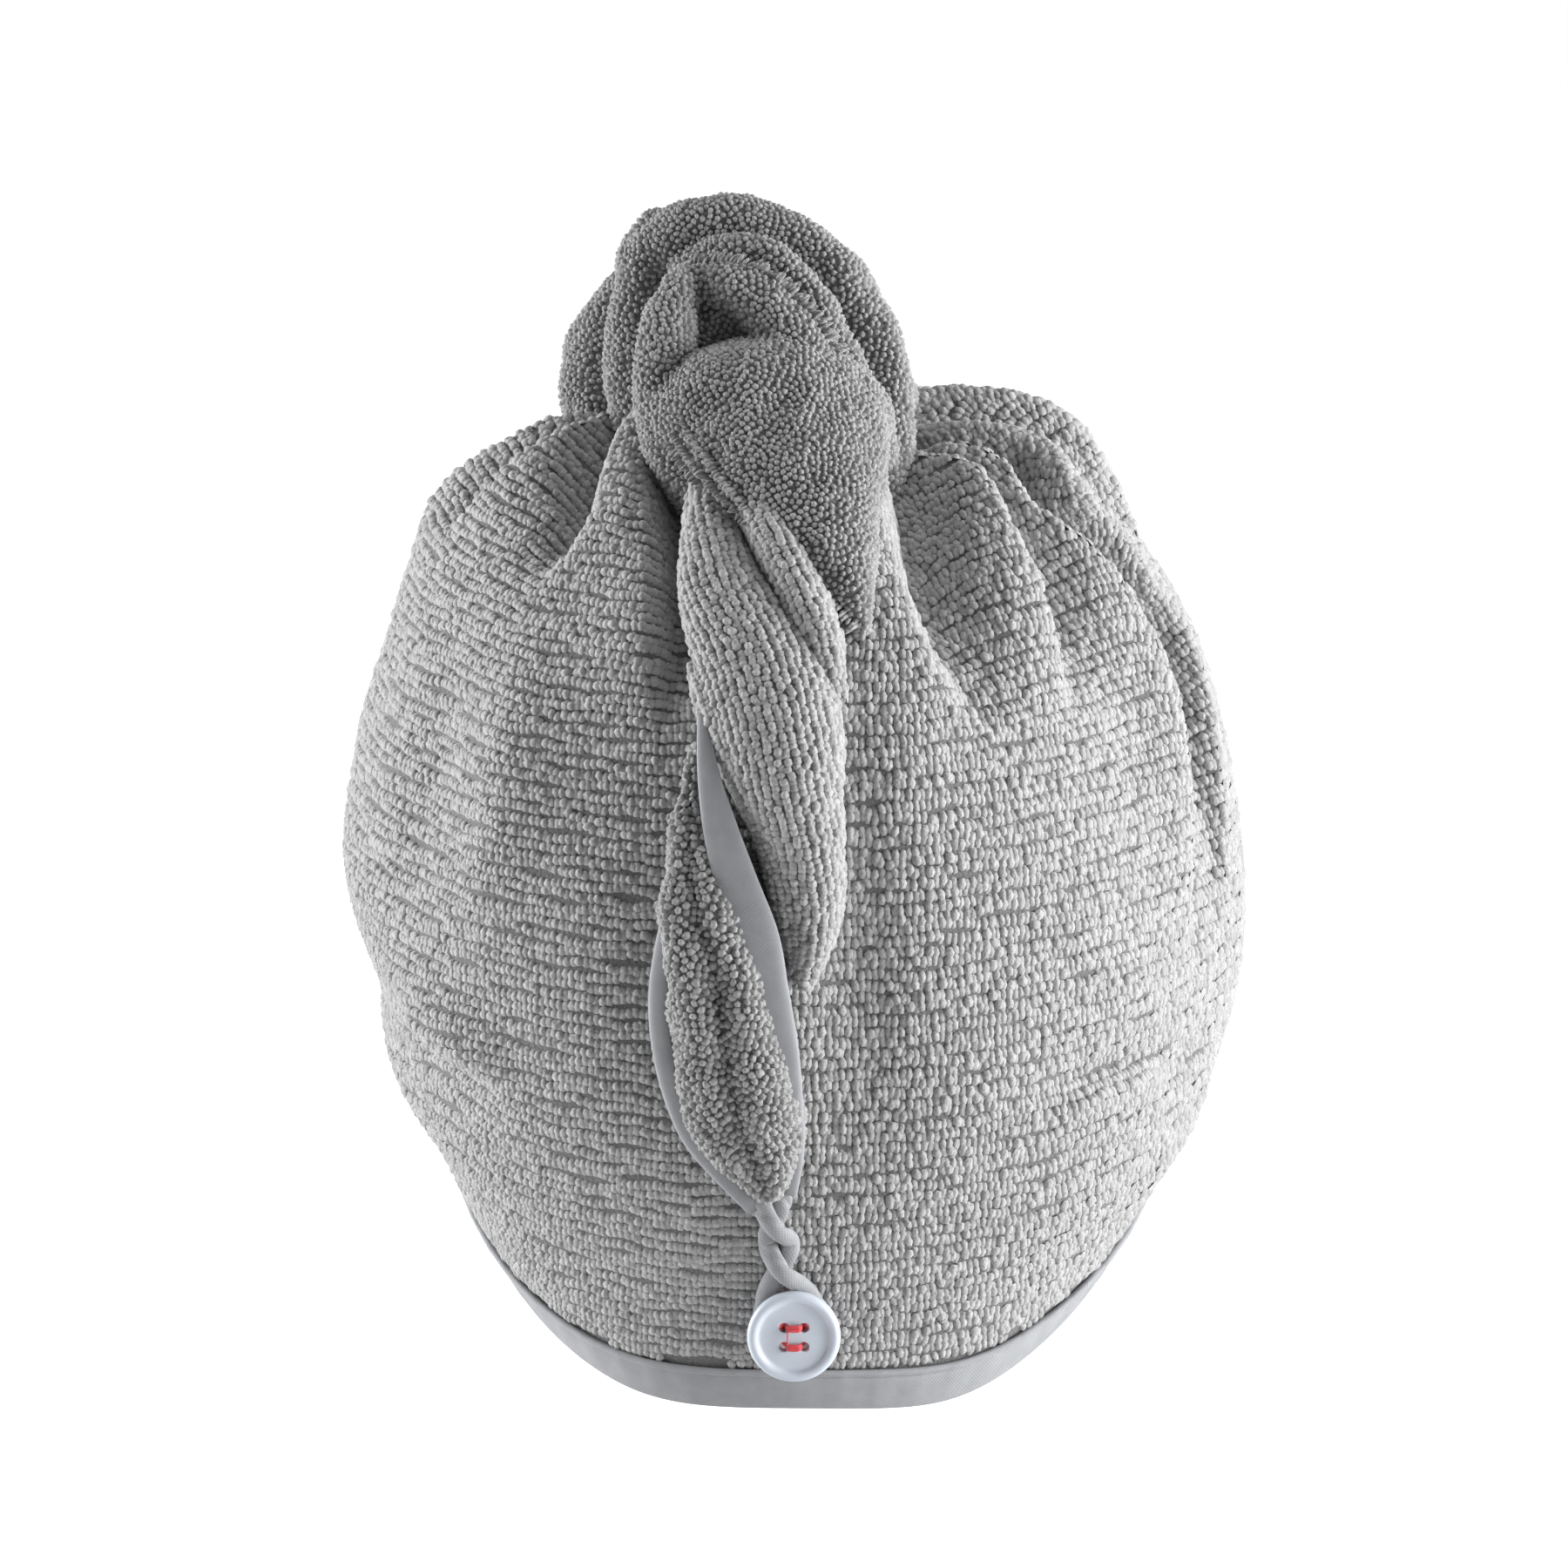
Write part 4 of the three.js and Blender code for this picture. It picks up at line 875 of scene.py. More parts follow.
# %% Loops on the hood
pile_pieces = []
for seed, (side, lines) in enumerate(hood_rows.items()):
    ends = np.linspace(0, len(lines), 4).astype(int)
    for part, first, last in zip(("low", "middle", "high"), ends[:-1], ends[1:]):
        some = lines[first:last]
        loops = grown(
            f"hood_loops_{side}_{part}",
            rows_mesh("rows", some),
            loops_on_rows,
            Loop=long_loop_shape if side == "left" else loop_shape,
            Spacing=1.55 * MM,
            Shake=(0.22 if side == "left" else 0.38) * MM,
            Finish=terry_loops,
            Seed=seed * 3 + len(part),
        )
        pile_pieces.append(loops)
        print(loops.name, triangles(loops.data), "triangles")

# %% [markdown]
# ## The hem band
# The hem is bound with a strip of smooth cloth, folded in half over the raw edge and stitched. Seen
# in section it is a narrow U. So rings of that U are swept around the hem, with a thin raised fold
# along the upper edge, where the stitch pulls it in, and shallow puckers that a sewn curve has.

# %% Band around the hem
# Along the band's outer face: share of its height, lift in mm, share of the pucker
BAND_FACE = [
    (1.03, -0.75, 0), (1.06, -0.2, 0.3), (1.03, 0.35, 0.6), (0.96, 0.5, 0.6), (0.9, 0.3, 0.8),
    (0.86, -0.25, 1), (0.82, 0.0, 1), (0.7, 0.2, 1), (0.5, 0.3, 1), (0.3, 0.25, 1), (0.12, 0.1, 0.6),
]
PUCKERS = ((150, 0.04), (61, 0.08))  # waves around the hem, and their height in mm
band_level = BAND["height"] / MERIDIAN
band_azimuths = np.linspace(-90, 270, 480, endpoint=False)


def band_ring(share, off):
    level = np.full(len(band_azimuths), share * band_level)
    return cloth_point(band_azimuths, level, off)


def band_edge(off, past):
    edge = band_ring(0.0, off)
    return edge + unit(edge - band_ring(1.0, off)) * past


def band_section():
    leaf, near, far = BAND["leaf"], GAP, GAP + BAND["leaf"]
    inner = -HOOD["cloth"]
    pucker = sum(height * np.sin(np.radians(band_azimuths) * waves) for waves, height in PUCKERS)
    out = unit(band_ring(0.5, 1) - band_ring(0.5, 0))
    outer = [
        band_ring(share, far + lift) + out * (pucker * wave)[:, None] for share, lift, wave in BAND_FACE
    ]
    fold = [
        band_edge(far * math.cos(t) * 0.4 + far * 0.6, near + leaf * math.sin(t))
        for t in np.linspace(0.2, 1.3, 4)
    ]
    corner = 0.4
    under = [(inner - near, far), (inner - far + corner, far - corner), (inner - far, near)]
    under = [band_edge(off, past) for off, past in under]
    inward = [band_ring(share, inner - far) for share in (0.3, 0.7, 1.0)]
    back = [band_ring(1.0, inner - near), band_edge(inner - near, near)]
    back += [band_edge(near, near), band_ring(1.0, near)]
    return outer + fold + under + inward + back


hem_band = new_object("hem_band_cloth", tube("hem_band_cloth", band_section(), looped=True), binding_cloth)
print("hem band:", triangles(hem_band.data), "triangles")

# %% [markdown]
# ## The knot, the twist and the tail end
# Twisted towel is soft, so its rolls press into each other and meet in rounded valleys. Booleans
# would leave knife edges there. A voxel remesh of the overlapping rolls joins them into one skin
# with soft valleys, and a light smoothing rounds them further. Then the piece is cut back to the
# hood that it lies on, so nothing of it is hidden inside.

# %% Joining rolls into one skin
def joined(name, meshes):
    points, faces, start = [], [], 0
    for mesh in meshes:
        points += [v.co[:] for v in mesh.vertices]
        faces += [[start + v for v in p.vertices] for p in mesh.polygons]
        start += len(mesh.vertices)
        bpy.data.meshes.remove(mesh)
    whole = bpy.data.meshes.new(name)
    whole.from_pydata(points, [], faces)
    return whole


def skinned(name, meshes, voxel, rounds):
    skin = new_object(name, joined(name, meshes))
    remesh = skin.modifiers.new("skin", "REMESH")
    remesh.mode = "VOXEL"
    remesh.voxel_size = voxel * MM
    relax = skin.modifiers.new("relax", "SMOOTH")
    relax.iterations = rounds
    relax.factor = 0.5
    return skin


def rumpled(thing, depth, size):
    """Moves each point along its normal by soft noise, as pressed towel is never quite even."""
    count = len(thing.data.vertices)
    places, normals = np.empty(count * 3), np.empty(count * 3)
    thing.data.vertices.foreach_get("co", places)
    thing.data.vertex_normals.foreach_get("vector", normals)
    places, normals = places.reshape(-1, 3), normals.reshape(-1, 3)
    shift = np.array([noise.noise(Vector(place / (size * MM))) for place in places])
    places += normals * shift[:, None] * depth * MM
    thing.data.vertices.foreach_set("co", places.ravel())
    thing.data.update()
    return thing


def cut_back(thing, *cutters):
    for cutter in cutters:
        cut = thing.modifiers.new("cut", "BOOLEAN")
        cut.operation = "DIFFERENCE"
        cut.solver = "MANIFOLD"
        cut.object = cutter
    return settled(thing)


filled_rings = [hood_ring(level, GAP) for level in np.linspace(0, 1, 90)]
hood_space = new_object("hood_space", tube("hood_space", filled_rings))
print("hood space:", triangles(hood_space.data), "triangles")

# %% Knot
ROLL_SIDES, LOBE_SIDES = 28, 40


def ball(row, sides=32):
    centre = knot_place([row])[0]
    halves = np.array([row[3] * KNOT["width"], row[4] * KNOT["depth"], row[5] * KNOT["height"]])
    tilt = np.linspace(-np.pi / 2 + 0.02, np.pi / 2 - 0.02, 20)
    turn = circle(sides)
    flat = np.stack([np.cos(turn), np.sin(turn), np.zeros(sides)], -1)
    return [centre + (flat * math.cos(t) + np.array([0, 0, math.sin(t)])) * halves for t in tilt]


knot_meshes = [tube("roll", strand_rings(roll_stations(rows), ROLL_SIDES)) for rows in KNOT_ROLLS]
knot_meshes += [tube("mass", ball(row)) for row in KNOT_MASSES]
knot_lobe = lobe_stations(KNOT_LOBE)
knot_meshes.append(tube("lobe", strand_rings(knot_lobe, LOBE_SIDES)))
knot = settled(skinned("topknot_cloth", knot_meshes, voxel=1.0, rounds=1))
knot = rumpled(knot, depth=1.0, size=8)
knot = cut_back(knot, hood_space)
dress(knot, terry_ground)
print("knot:", triangles(knot.data), "triangles")

# %% Twist
twist_stations = [lobe_stations(rows) for rows in TWIST_LOBES]
twist_meshes = [tube("lobe", strand_rings(stations, LOBE_SIDES)) for stations in twist_stations]
twist = settled(skinned("tail_twist_cloth", twist_meshes, voxel=0.9, rounds=2))
twist = cut_back(twist, hood_space)
dress(twist, terry_ground)
print("twist:", triangles(twist.data), "triangles")

# %% Tail end
def half_lobe(rows, side):
    """One of the two rolls that lie side by side in a lobe, with a groove between them."""
    apart, share = 0.42, 0.6
    rows = np.array(rows)
    rows[:, 0] += side * apart * rows[:, 3]
    rows[:, 3] *= share
    return tube("lobe", strand_rings(lobe_stations(rows), LOBE_SIDES))


end_rolls = [half_lobe(END_LOBE, side) for side in (-1, 1)]
tail_end = settled(skinned("tail_end_cloth", end_rolls, voxel=0.9, rounds=1))
tail_end = rumpled(tail_end, depth=1.6, size=8)
tail_end = cut_back(tail_end, hood_space)
dress(tail_end, terry_ground)
print("tail end:", triangles(tail_end.data), "triangles")

# %% [markdown]
# ## Ribs of the twist
# Where the towel is drawn out, its rows of loops run down the lobes as ribs. They are lines at even
# distances from each lobe's crest, kept only where they lie on the joined skin, so a rib ends where
# its lobe dives under the next. The same tree as on the hood then sets the loops.

# %% Ribs down the lobes
RIB_PITCH = 2.05
RIB_SINK = 1.0  # a rib ends where the joined skin is farther from it than this


def skin_tree(thing):
    mesh = thing.data
    return BVHTree.FromPolygons([v.co[:] for v in mesh.vertices], [p.vertices[:] for p in mesh.polygons])


def rib_lines(stations, skin):
    """Lines along a lobe at even distances from its crest, where they lie on the skin."""
    _, across, out = strand_frames(stations)
    angles = np.linspace(-np.pi, np.pi, 181)
    crest = len(angles) // 2
    section = np.stack([np.sin(angles), np.cos(angles)], -1)
    ovals = section[None] * stations[:, None, 6:8]
    girth = np.linalg.norm(np.diff(ovals, axis=1), axis=-1)
    girth = np.concatenate([np.zeros((len(stations), 1)), np.cumsum(girth, 1)], 1)
    girth -= girth[:, crest : crest + 1]
    most = math.floor(girth.max() / RIB_PITCH)
    wide, thick = stations[:, 6:7], stations[:, 7:8]
    lines = []
    for offset in np.arange(-most, most + 1) * RIB_PITCH:
        turn = np.array([np.interp(offset, lengths, angles) for lengths in girth])[:, None]
        points = stations[:, :3] + np.sin(turn) * wide * across + np.cos(turn) * thick * out
        normal = unit(np.sin(turn) / wide * across + np.cos(turn) / thick * out)
        shown = np.abs(offset) < girth[:, -1]
        for k in np.flatnonzero(shown):
            shown[k] = skin.find_nearest(Vector(points[k] * MM))[3] < RIB_SINK * MM
        lines += [(points[some], normal[some]) for some in runs_of(shown)]
    return lines


twist_skin = skin_tree(twist)
ribs = [line for stations in twist_stations for line in rib_lines(stations, twist_skin)]
rib_shape = dome("rib_shape", 2.3, 2.3, 0.62)
twist_loops = grown(
    "tail_twist_loops",
    rows_mesh("ribs", ribs),
    loops_on_rows,
    Loop=rib_shape,
    Spacing=1.45 * MM,
    Shake=0.28 * MM,
    Finish=terry_loops,
    Seed=11,
)
print("ribs:", len(ribs), "loops:", triangles(twist_loops.data), "triangles")

# %% [markdown]
# ## Dense pile
# On the knot and the tail's end the other face of the towel shows, with a dense pile of short round
# grains. A second tree scatters points over the skin, never closer than one grain, and sets a grain
# on each. They lean with a slow noise, so that they lie together in strokes, like combed pile. Only
# along two turned edges does the pile stand out as tufts, so there the first tree sets those.

# %% One tuft and one grain
def tuft(name, wide, tall, sides=5):
    """A small drop that leans over: narrow at its root, full in the middle, round at its tip."""
    turn = circle(sides)
    rings = [(0.7, -0.15, 0.0), (1.0, 0.45, 0.1), (0.62, 0.86, 0.3)]
    points = [
        (wide / 2 * r * math.cos(t) + tall * bend, wide / 2 * r * math.sin(t), tall * h)
        for r, h, bend in rings
        for t in turn
    ]
    points.append((tall * 0.38, 0, tall))
    faces = []
    for ring in range(len(rings) - 1):
        low, high = ring * sides, (ring + 1) * sides
        faces += [[low + k, low + (k + 1) % sides, high + (k + 1) % sides, high + k] for k in range(sides)]
    last = (len(rings) - 1) * sides
    faces += [[last + k, last + (k + 1) % sides, len(rings) * sides] for k in range(sides)]
    return new_object(name, mesh_of(name, points, faces))


tuft_shape = tuft("tuft_shape", 1.3, 2.8)
grain_shape = dome("grain_shape", 1.6, 1.6, 0.95, sides=5)
print("one tuft has", triangles(tuft_shape.data), "triangles, a grain", triangles(grain_shape.data))

# %% Tree that scatters grains
MOST_GRAINS = 3000000.0  # to the square metre, so that only the distance between them counts
GRAIN_TILT = (0.2, 0.2, 0.6)
GRAIN_SIZES = (0.8, 0.8, 0.75), (1.2, 1.2, 1.2)


def pile_tree():
    tree, entry, leave = new_group(
        "grains on cloth",
        "GeometryNodeTree",
        dict(
            Skin="Geometry", Grain="Object", Apart=0.0017, Lean=0.7, Stroke=90.0, Size=1.0,
            Finish="Material", Seed=0,
        ),
        dict(Geometry="Geometry"),
    )
    seed = entry.outputs["Seed"]
    links = {"Mesh": entry.outputs["Skin"], "Distance Min": entry.outputs["Apart"], "Seed": seed}
    spread = add(tree, "GeometryNodeDistributePointsOnFaces", links, distribute_method="POISSON")
    spread.inputs["Density Max"].default_value = MOST_GRAINS
    place = add(tree, "GeometryNodeInputPosition")
    links = {"Vector": place.outputs[0], "Scale": entry.outputs["Stroke"]}
    combed = add(tree, "ShaderNodeTexNoise", links, Detail=1.0)
    centred = add(tree, "ShaderNodeVectorMath", {0: combed.outputs["Color"]}, operation="SUBTRACT")
    centred.inputs[1].default_value = (0.5, 0.5, 0.5)
    links = {0: spread.outputs["Normal"], 1: scaled(tree, centred.outputs[0], entry.outputs["Lean"])}
    leaning = add(tree, "ShaderNodeVectorMath", links, operation="ADD")
    tilt = random_vector(tree, seed, [-most for most in GRAIN_TILT], GRAIN_TILT)
    rotation = standing(tree, leaning.outputs[0], centred.outputs[0], tilt)
    size = scaled(tree, random_vector(tree, seed, *GRAIN_SIZES), entry.outputs["Size"])
    return finish_tree(tree, entry, leave, "Grain", spread.outputs["Points"], rotation, size)


grains_on_cloth = pile_tree()
print("pile tree has", len(grains_on_cloth.nodes), "nodes")

# %% Pile on the knot and the tail's end
knot_pile = grown(
    "topknot_pile",
    knot.data.copy(),
    grains_on_cloth,
    Grain=grain_shape,
    Apart=1.28 * MM,
    Lean=0.8,
    Stroke=70.0,
    Size=1.0,
    Finish=terry_pile,
    Seed=21,
)
end_pile = grown(
    "tail_end_pile",
    tail_end.data.copy(),
    grains_on_cloth,
    Grain=grain_shape,
    Apart=1.5 * MM,
    Lean=1.3,
    Stroke=110.0,
    Size=1.3,
    Finish=terry_pile,
    Seed=22,
)
print("pile:", triangles(knot_pile.data), "and", triangles(end_pile.data), "triangles")

# %% Fringes along two turned edges
def edge_lines(stations, side, angles):
    """Lines along one side of a strand, at angles from its crest, with the way they face."""
    _, across, out = strand_frames(stations)
    lines = []
    for angle in np.radians(angles):
        sideways, lifted = side * math.sin(angle) * across, math.cos(angle) * out
        points = stations[:, :3] + stations[:, 6:7] * sideways + stations[:, 7:8] * lifted
        lines.append((points, unit(sideways + lifted)))
    return lines


fringe_lines = edge_lines(roll_stations(KNOT_ROLLS[2]), -1, (40, 60, 80))
fringe_lines += edge_lines(knot_lobe[6:], 1, (62, 76, 90))
knot_fringe = grown(
    "topknot_fringe",
    rows_mesh("fringe", fringe_lines),
    loops_on_rows,
    Loop=tuft_shape,
    Spacing=1.15 * MM,
    Shake=0.3 * MM,
    Finish=terry_pile,
    Seed=31,
)
print("fringe:", triangles(knot_fringe.data), "triangles")

# %% [markdown]
# ## The binding strips
# The tail's long edge is bound with the same smooth cloth as the hem. It winds between the twist
# and the tail's end, and shows again on its left edge. It is doubled cloth, so its section is a flat
# roll: nearly straight across, round at its edges.

# %% Strips
def strip_rings(stations, sides=28, power=0.75):
    """Rings with a flattened section: a power below 1 squares the oval."""
    _, across, out = strand_frames(stations)
    turn = circle(sides)
    wide, thick = (np.sign(wave) * np.abs(wave) ** power for wave in (np.cos(turn), np.sin(turn)))
    section = stations[:, 6, None, None] * wide[None, :, None] * across[:, None]
    section = section + stations[:, 7, None, None] * thick[None, :, None] * out[:, None]
    return stations[:, None, :3] + section


def strip(name, rows):
    stations = laid_stations(rows, BINDING["width"], BINDING["thick"], 1.2)
    return new_object(name, tube(name, strip_rings(stations)), binding_cloth)


inner_binding = strip("edge_binding_inner_cloth", INNER_STRIP)
outer_binding = strip("edge_binding_outer_cloth", OUTER_STRIP)
print("strips:", triangles(inner_binding.data) + triangles(outer_binding.data), "triangles")

# %% [markdown]
# ## The cord loop
# The loop is the binding itself, rolled to a cord, twisted on itself below the tail's tip and drawn
# round the button's shank. Its path repeats the one of the frame, but with close points, and the
# section turns as it goes, so the rolled edge winds around the cord as a fine spiral line.

# %% Cord
# The folded edge: how far apart its turns lie, then depth and width in degrees of its groove and lip
CORD_EDGE = dict(pitch=17, groove=0.3, groove_width=14, lip=0.06, lip_place=40, lip_width=22)
# The twist: how far its legs lie apart and rise over each other, where it starts and ends and where
# the legs open towards the shank, as shares of the cord's sizes and of its reach
CORD_TWIST = dict(apart=0.55, over=0.6, start=0.02, end=0.83, opens=0.5)
LEG_STEPS, BEND_STEPS = 69, 26


def cord_path():
    """Points down one leg, round the shank and up the other leg, with the way out from the hood."""
    tip = TAIL["right"] + END_LOBE[-1][0] * TAIL["width"] / 2
    reach = THREAD["shank"] / 2 + CORD["width"] / 2 + GAP * 2
    apart, over = CORD["width"] * CORD_TWIST["apart"], CORD["thick"] * CORD_TWIST["over"]
    s = np.linspace(0, 1, LEG_STEPS + 1)[:-1]

    def leg(sign):
        turned = 1 - smooth(s, CORD_TWIST["start"], CORD_TWIST["end"])
        turn = 2 * np.pi * turned + (0 if sign > 0 else np.pi)
        spread = apart + (reach - apart) * smooth(s, CORD_TWIST["opens"], 1)
        rise = CORD["lift"] + over * np.abs(np.sin(turn)) * (1 + np.sin(turn))
        x = tip + (BUTTON["right"] - tip) * s + spread * np.cos(turn)
        return np.stack([x, -(BUTTON_DROP - CORD["reach"]) - CORD["reach"] * s, rise], -1)

    turn = np.linspace(0, np.pi, BEND_STEPS)
    x = BUTTON["right"] + reach * np.cos(turn)
    z = -BUTTON_DROP - reach * np.sin(turn)
    bend = np.stack([x, z, np.full(BEND_STEPS, CORD["lift"])], -1)
    flat = np.concatenate([leg(1), bend, leg(-1)[::-1]])
    point, normal = back_place(flat[:, 0], flat[:, 1])
    return point + normal * flat[:, 2:3], normal


def cord_rings(sides=32):
    """A flat roll with a folded edge that winds slowly around it."""
    centre, out = cord_path()
    stations = np.hstack([centre, out, np.zeros((len(centre), 2))])
    _, across, out = strand_frames(stations)
    turns = travelled(centre)[:, None] / CORD_EDGE["pitch"]
    turn = circle(sides)
    winding = np.degrees(turn[None] - turns * 2 * np.pi)
    groove = CORD_EDGE["groove"] * bell(wrapped(winding) / CORD_EDGE["groove_width"])
    lip = CORD_EDGE["lip"] * bell(wrapped(winding - CORD_EDGE["lip_place"]) / CORD_EDGE["lip_width"])
    swell = 1 - groove + lip
    wide = CORD["width"] / 2 * np.cos(turn)[None] * swell
    thick = CORD["thick"] / 2 * np.sin(turn)[None] * swell
    return centre[:, None] + wide[..., None] * across[:, None] + thick[..., None] * out[:, None]


loop_cord = new_object("loop_cord_cloth", tube("loop_cord_cloth", cord_rings()), cord_cloth)
print("cord:", triangles(loop_cord.data), "triangles")

# %% [markdown]
# ## The button and its thread
# The button is turned, so a profile is spun about its axis, with many steps because its rim shows
# as a clean circle. Four holes are cut with rods, and the thread goes through them as two bars.

# %% Axes of the button
seat, outward = back_place(BUTTON["right"], -BUTTON_DROP)
sideways = unit(np.cross([0, 0, 1], outward))
upward = np.cross(outward, sideways)
tilt = math.radians(BUTTON["tilt"])
facing = outward * math.cos(tilt) + upward * math.sin(tilt)
up_face = np.cross(facing, sideways)
button_back = BUTTON["standoff"]
button_front = button_back + BUTTON["thick"]
button_face = button_front - BUTTON["dish"]
hole_offset = BUTTON["spacing"] / 2


def on_button(x, y, height):
    x, y, height = np.broadcast_arrays(*(np.asarray(v, float) for v in (x, y, height)))
    return seat + x[..., None] * sideways + y[..., None] * up_face + height[..., None] * facing


def turned_rings(profile, sides):
    turn = circle(sides)
    return [on_button(r * np.cos(turn), r * np.sin(turn), h) for r, h in profile]


print("button faces", facing.round(2))

# %% Button
def rounded(profile, steps=5):
    """A smooth line through the profile's corners."""
    last = len(profile) - 1
    return curve(np.arange(last + 1), np.array(profile, float), np.linspace(0, last, steps * last + 1))


radius = BUTTON["diameter"] / 2
inner = radius - BUTTON["rim"]
# From the middle of the back round the edge to the middle of the dish: radius and height
profile = [
    (0.3, button_back), (radius * 0.5, button_back), (radius - 1.2, button_back),
    (radius - 0.25, button_back + 0.5), (radius, button_back + 1.4), (radius - 0.1, button_front - 0.75),
    (radius - 0.75, button_front - 0.12), (radius - 1.5, button_front), (inner + 0.45, button_front - 0.28),
    (inner - 0.2, button_face), (inner - 1.6, button_face - 0.12), (radius * 0.4, button_face - 0.05),
    (0.3, button_face),
]
button = new_object("button_disc", tube("button_disc", turned_rings(rounded(profile), 128)))
rods = []
turn = circle(24)
hole, past = BUTTON["hole"] / 2, 2
for x in (-hole_offset, hole_offset):
    for y in (-hole_offset, hole_offset):
        ends = (button_back - past, button_front + past)
        rings = [on_button(x + hole * np.cos(turn), y + hole * np.sin(turn), h) for h in ends]
        rods.append(tube("rod", rings))
hole_rods = new_object("hole_rods", joined("hole_rods", rods))
button = cut_back(button, hole_rods)
print("button:", triangles(button.data), "triangles")

# %% Thread
# The strands over each pair of holes: pitch, radius and heights in mm, and shares for span and sinking
STITCH = dict(strands=4, pitch=0.42, radius=0.3, lift=0.5, ply=0.18, span=0.82, sinks=0.5)
TIE = dict(place=0.66, span=0.95, radius=0.16, lift=0.15, depth=2.5, sinks=0.7)


def yarn(points, out, radius):
    outs = np.broadcast_to(out, points.shape)
    return tube("yarn", strand_rings(np.hstack([points, outs, np.full((len(points), 2), radius)]), 10))


def sunk(s, start):
    """How far a strand has gone down its hole, past this share of its half length."""
    return np.clip((np.abs(s) - start) / (1 - start), 0, 1) ** 1.5


def stitches():
    """Strands over each pair of holes and down through them, a tie across, and the wound shank."""
    made = []
    s = np.linspace(-1, 1, 15)
    over = button_face + GAP + STITCH["lift"]
    down = over - button_back + GAP
    for y in (-hole_offset, hole_offset):
        for strand in range(STITCH["strands"]):
            aside = strand - (STITCH["strands"] - 1) / 2
            x = STITCH["span"] * hole_offset * np.sin(s * np.pi / 2) * (1 - 0.04 * abs(aside))
            side = aside * STITCH["pitch"] * (1 - 0.3 * np.abs(s))
            height = over + STITCH["ply"] * (strand % 2) - sunk(s, STITCH["sinks"]) * down
            made.append(yarn(on_button(x, y + side, height), up_face, STITCH["radius"]))
    height = over + TIE["lift"] - sunk(s, TIE["sinks"]) * TIE["depth"]
    points = on_button(-TIE["place"] * hole_offset, TIE["span"] * hole_offset * s, height)
    made.append(yarn(points, sideways, TIE["radius"]))
    shank, top = THREAD["shank"] / 2, button_back - GAP
    winding = [(0.2, 0.3), (shank * 0.75, 0.3), (shank * 0.72, 1.5), (shank * 0.86, 3.0)]
    winding += [(shank, top), (0.2, top)]
    made.append(tube("shank", turned_rings(rounded(winding, 3), 32)))
    return joined("button_thread_yarn", made)


button_thread = new_object("button_thread_yarn", stitches())
button_thread.data.shade_smooth()
print("thread:", triangles(button_thread.data), "triangles")

# %% Finishes of the button and thread
button_plastic, tree, principled = new_material(
    "button_plastic", Roughness=0.32, Specular_IOR_Level=0.5, Subsurface_Weight=0.15, Coat_Weight=0.15
)
principled.inputs["Subsurface Radius"].default_value = (0.002, 0.002, 0.003)
place = add(tree, "ShaderNodeTexCoord").outputs["Object"]
cloud = add(tree, "ShaderNodeTexNoise", {"Vector": place}, Scale=160.0, Detail=3.0)
tint = mixed_colour(tree, cloud.outputs[0], (0.56, 0.62, 0.7, 1), (0.66, 0.71, 0.79, 1))
tree.links.new(tint, principled.inputs["Base Color"])
scuff = add(tree, "ShaderNodeBump", {"Height": cloud.outputs[0]}, Strength=0.08, Distance=0.0004)
tree.links.new(scuff.outputs[0], principled.inputs["Normal"])
dress(button, button_plastic)

red_yarn, tree, principled = new_material("red_yarn", Roughness=0.6, Sheen_Weight=0.3)
place = add(tree, "ShaderNodeTexCoord").outputs["Object"]
ply = add(tree, "ShaderNodeTexNoise", {"Vector": place}, Scale=2600.0, Detail=2.0)
red = mixed_colour(tree, ply.outputs[0], (0.5, 0.02, 0.03, 1), (0.85, 0.08, 0.09, 1))
tree.links.new(red, principled.inputs["Base Color"])
ridge = add(tree, "ShaderNodeBump", {"Height": ply.outputs[0]}, Strength=0.4, Distance=0.0002)
tree.links.new(ridge.outputs[0], principled.inputs["Normal"])
dress(button_thread, red_yarn)
print("finishes:", button_plastic.name, red_yarn.name)

# %% Clearing the helpers away
for helper in (loop_shape, long_loop_shape, rib_shape, tuft_shape, grain_shape, hood_space, hole_rods):
    bpy.data.objects.remove(helper)

# %% [markdown]
# ## What rides on what
# The towel has one body, so every piece rides on it. Each hides the CAD piece it stands for, and
# the list also names a finish for each, which nothing here reads.

# %% Bodies and replaced pieces
PIECES = [
    (hood, "hood", "terry"),
    *((loops, "hood", "terry") for loops in pile_pieces),
    (hem_band, "hem_band", "binding"),
    (knot, "topknot", "terry"),
    (knot_pile, "topknot", "terry"),
    (knot_fringe, "topknot", "terry"),
    (twist, "tail_twist", "terry"),
    (twist_loops, "tail_twist", "terry"),
    (tail_end, "tail_end", "terry"),
    (end_pile, "tail_end", "terry"),
    (inner_binding, "edge_binding_inner", "binding"),
    (outer_binding, "edge_binding_outer", "binding"),
    (loop_cord, "loop_cord", "cord"),
    (button, "button", "button"),
    (button_thread, "button_thread", "thread"),
]
for thing, node, slot in PIECES:
    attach(thing, BODY)
    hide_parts(node)
print(len(PIECES), "pieces,", sum(triangles(thing.data) for thing, _, _ in PIECES), "triangles")

# %% [markdown]
# ## Camera, floor and light
# The picture looks at the back of the head from a little above, with a long lens, so the hood's
# outline is nearly flat. Product light is soft: a surround that looks white but lights little, a
# large lamp on each side, a weaker one above, and hardly any from the front, so folds and loops keep
# their shade.

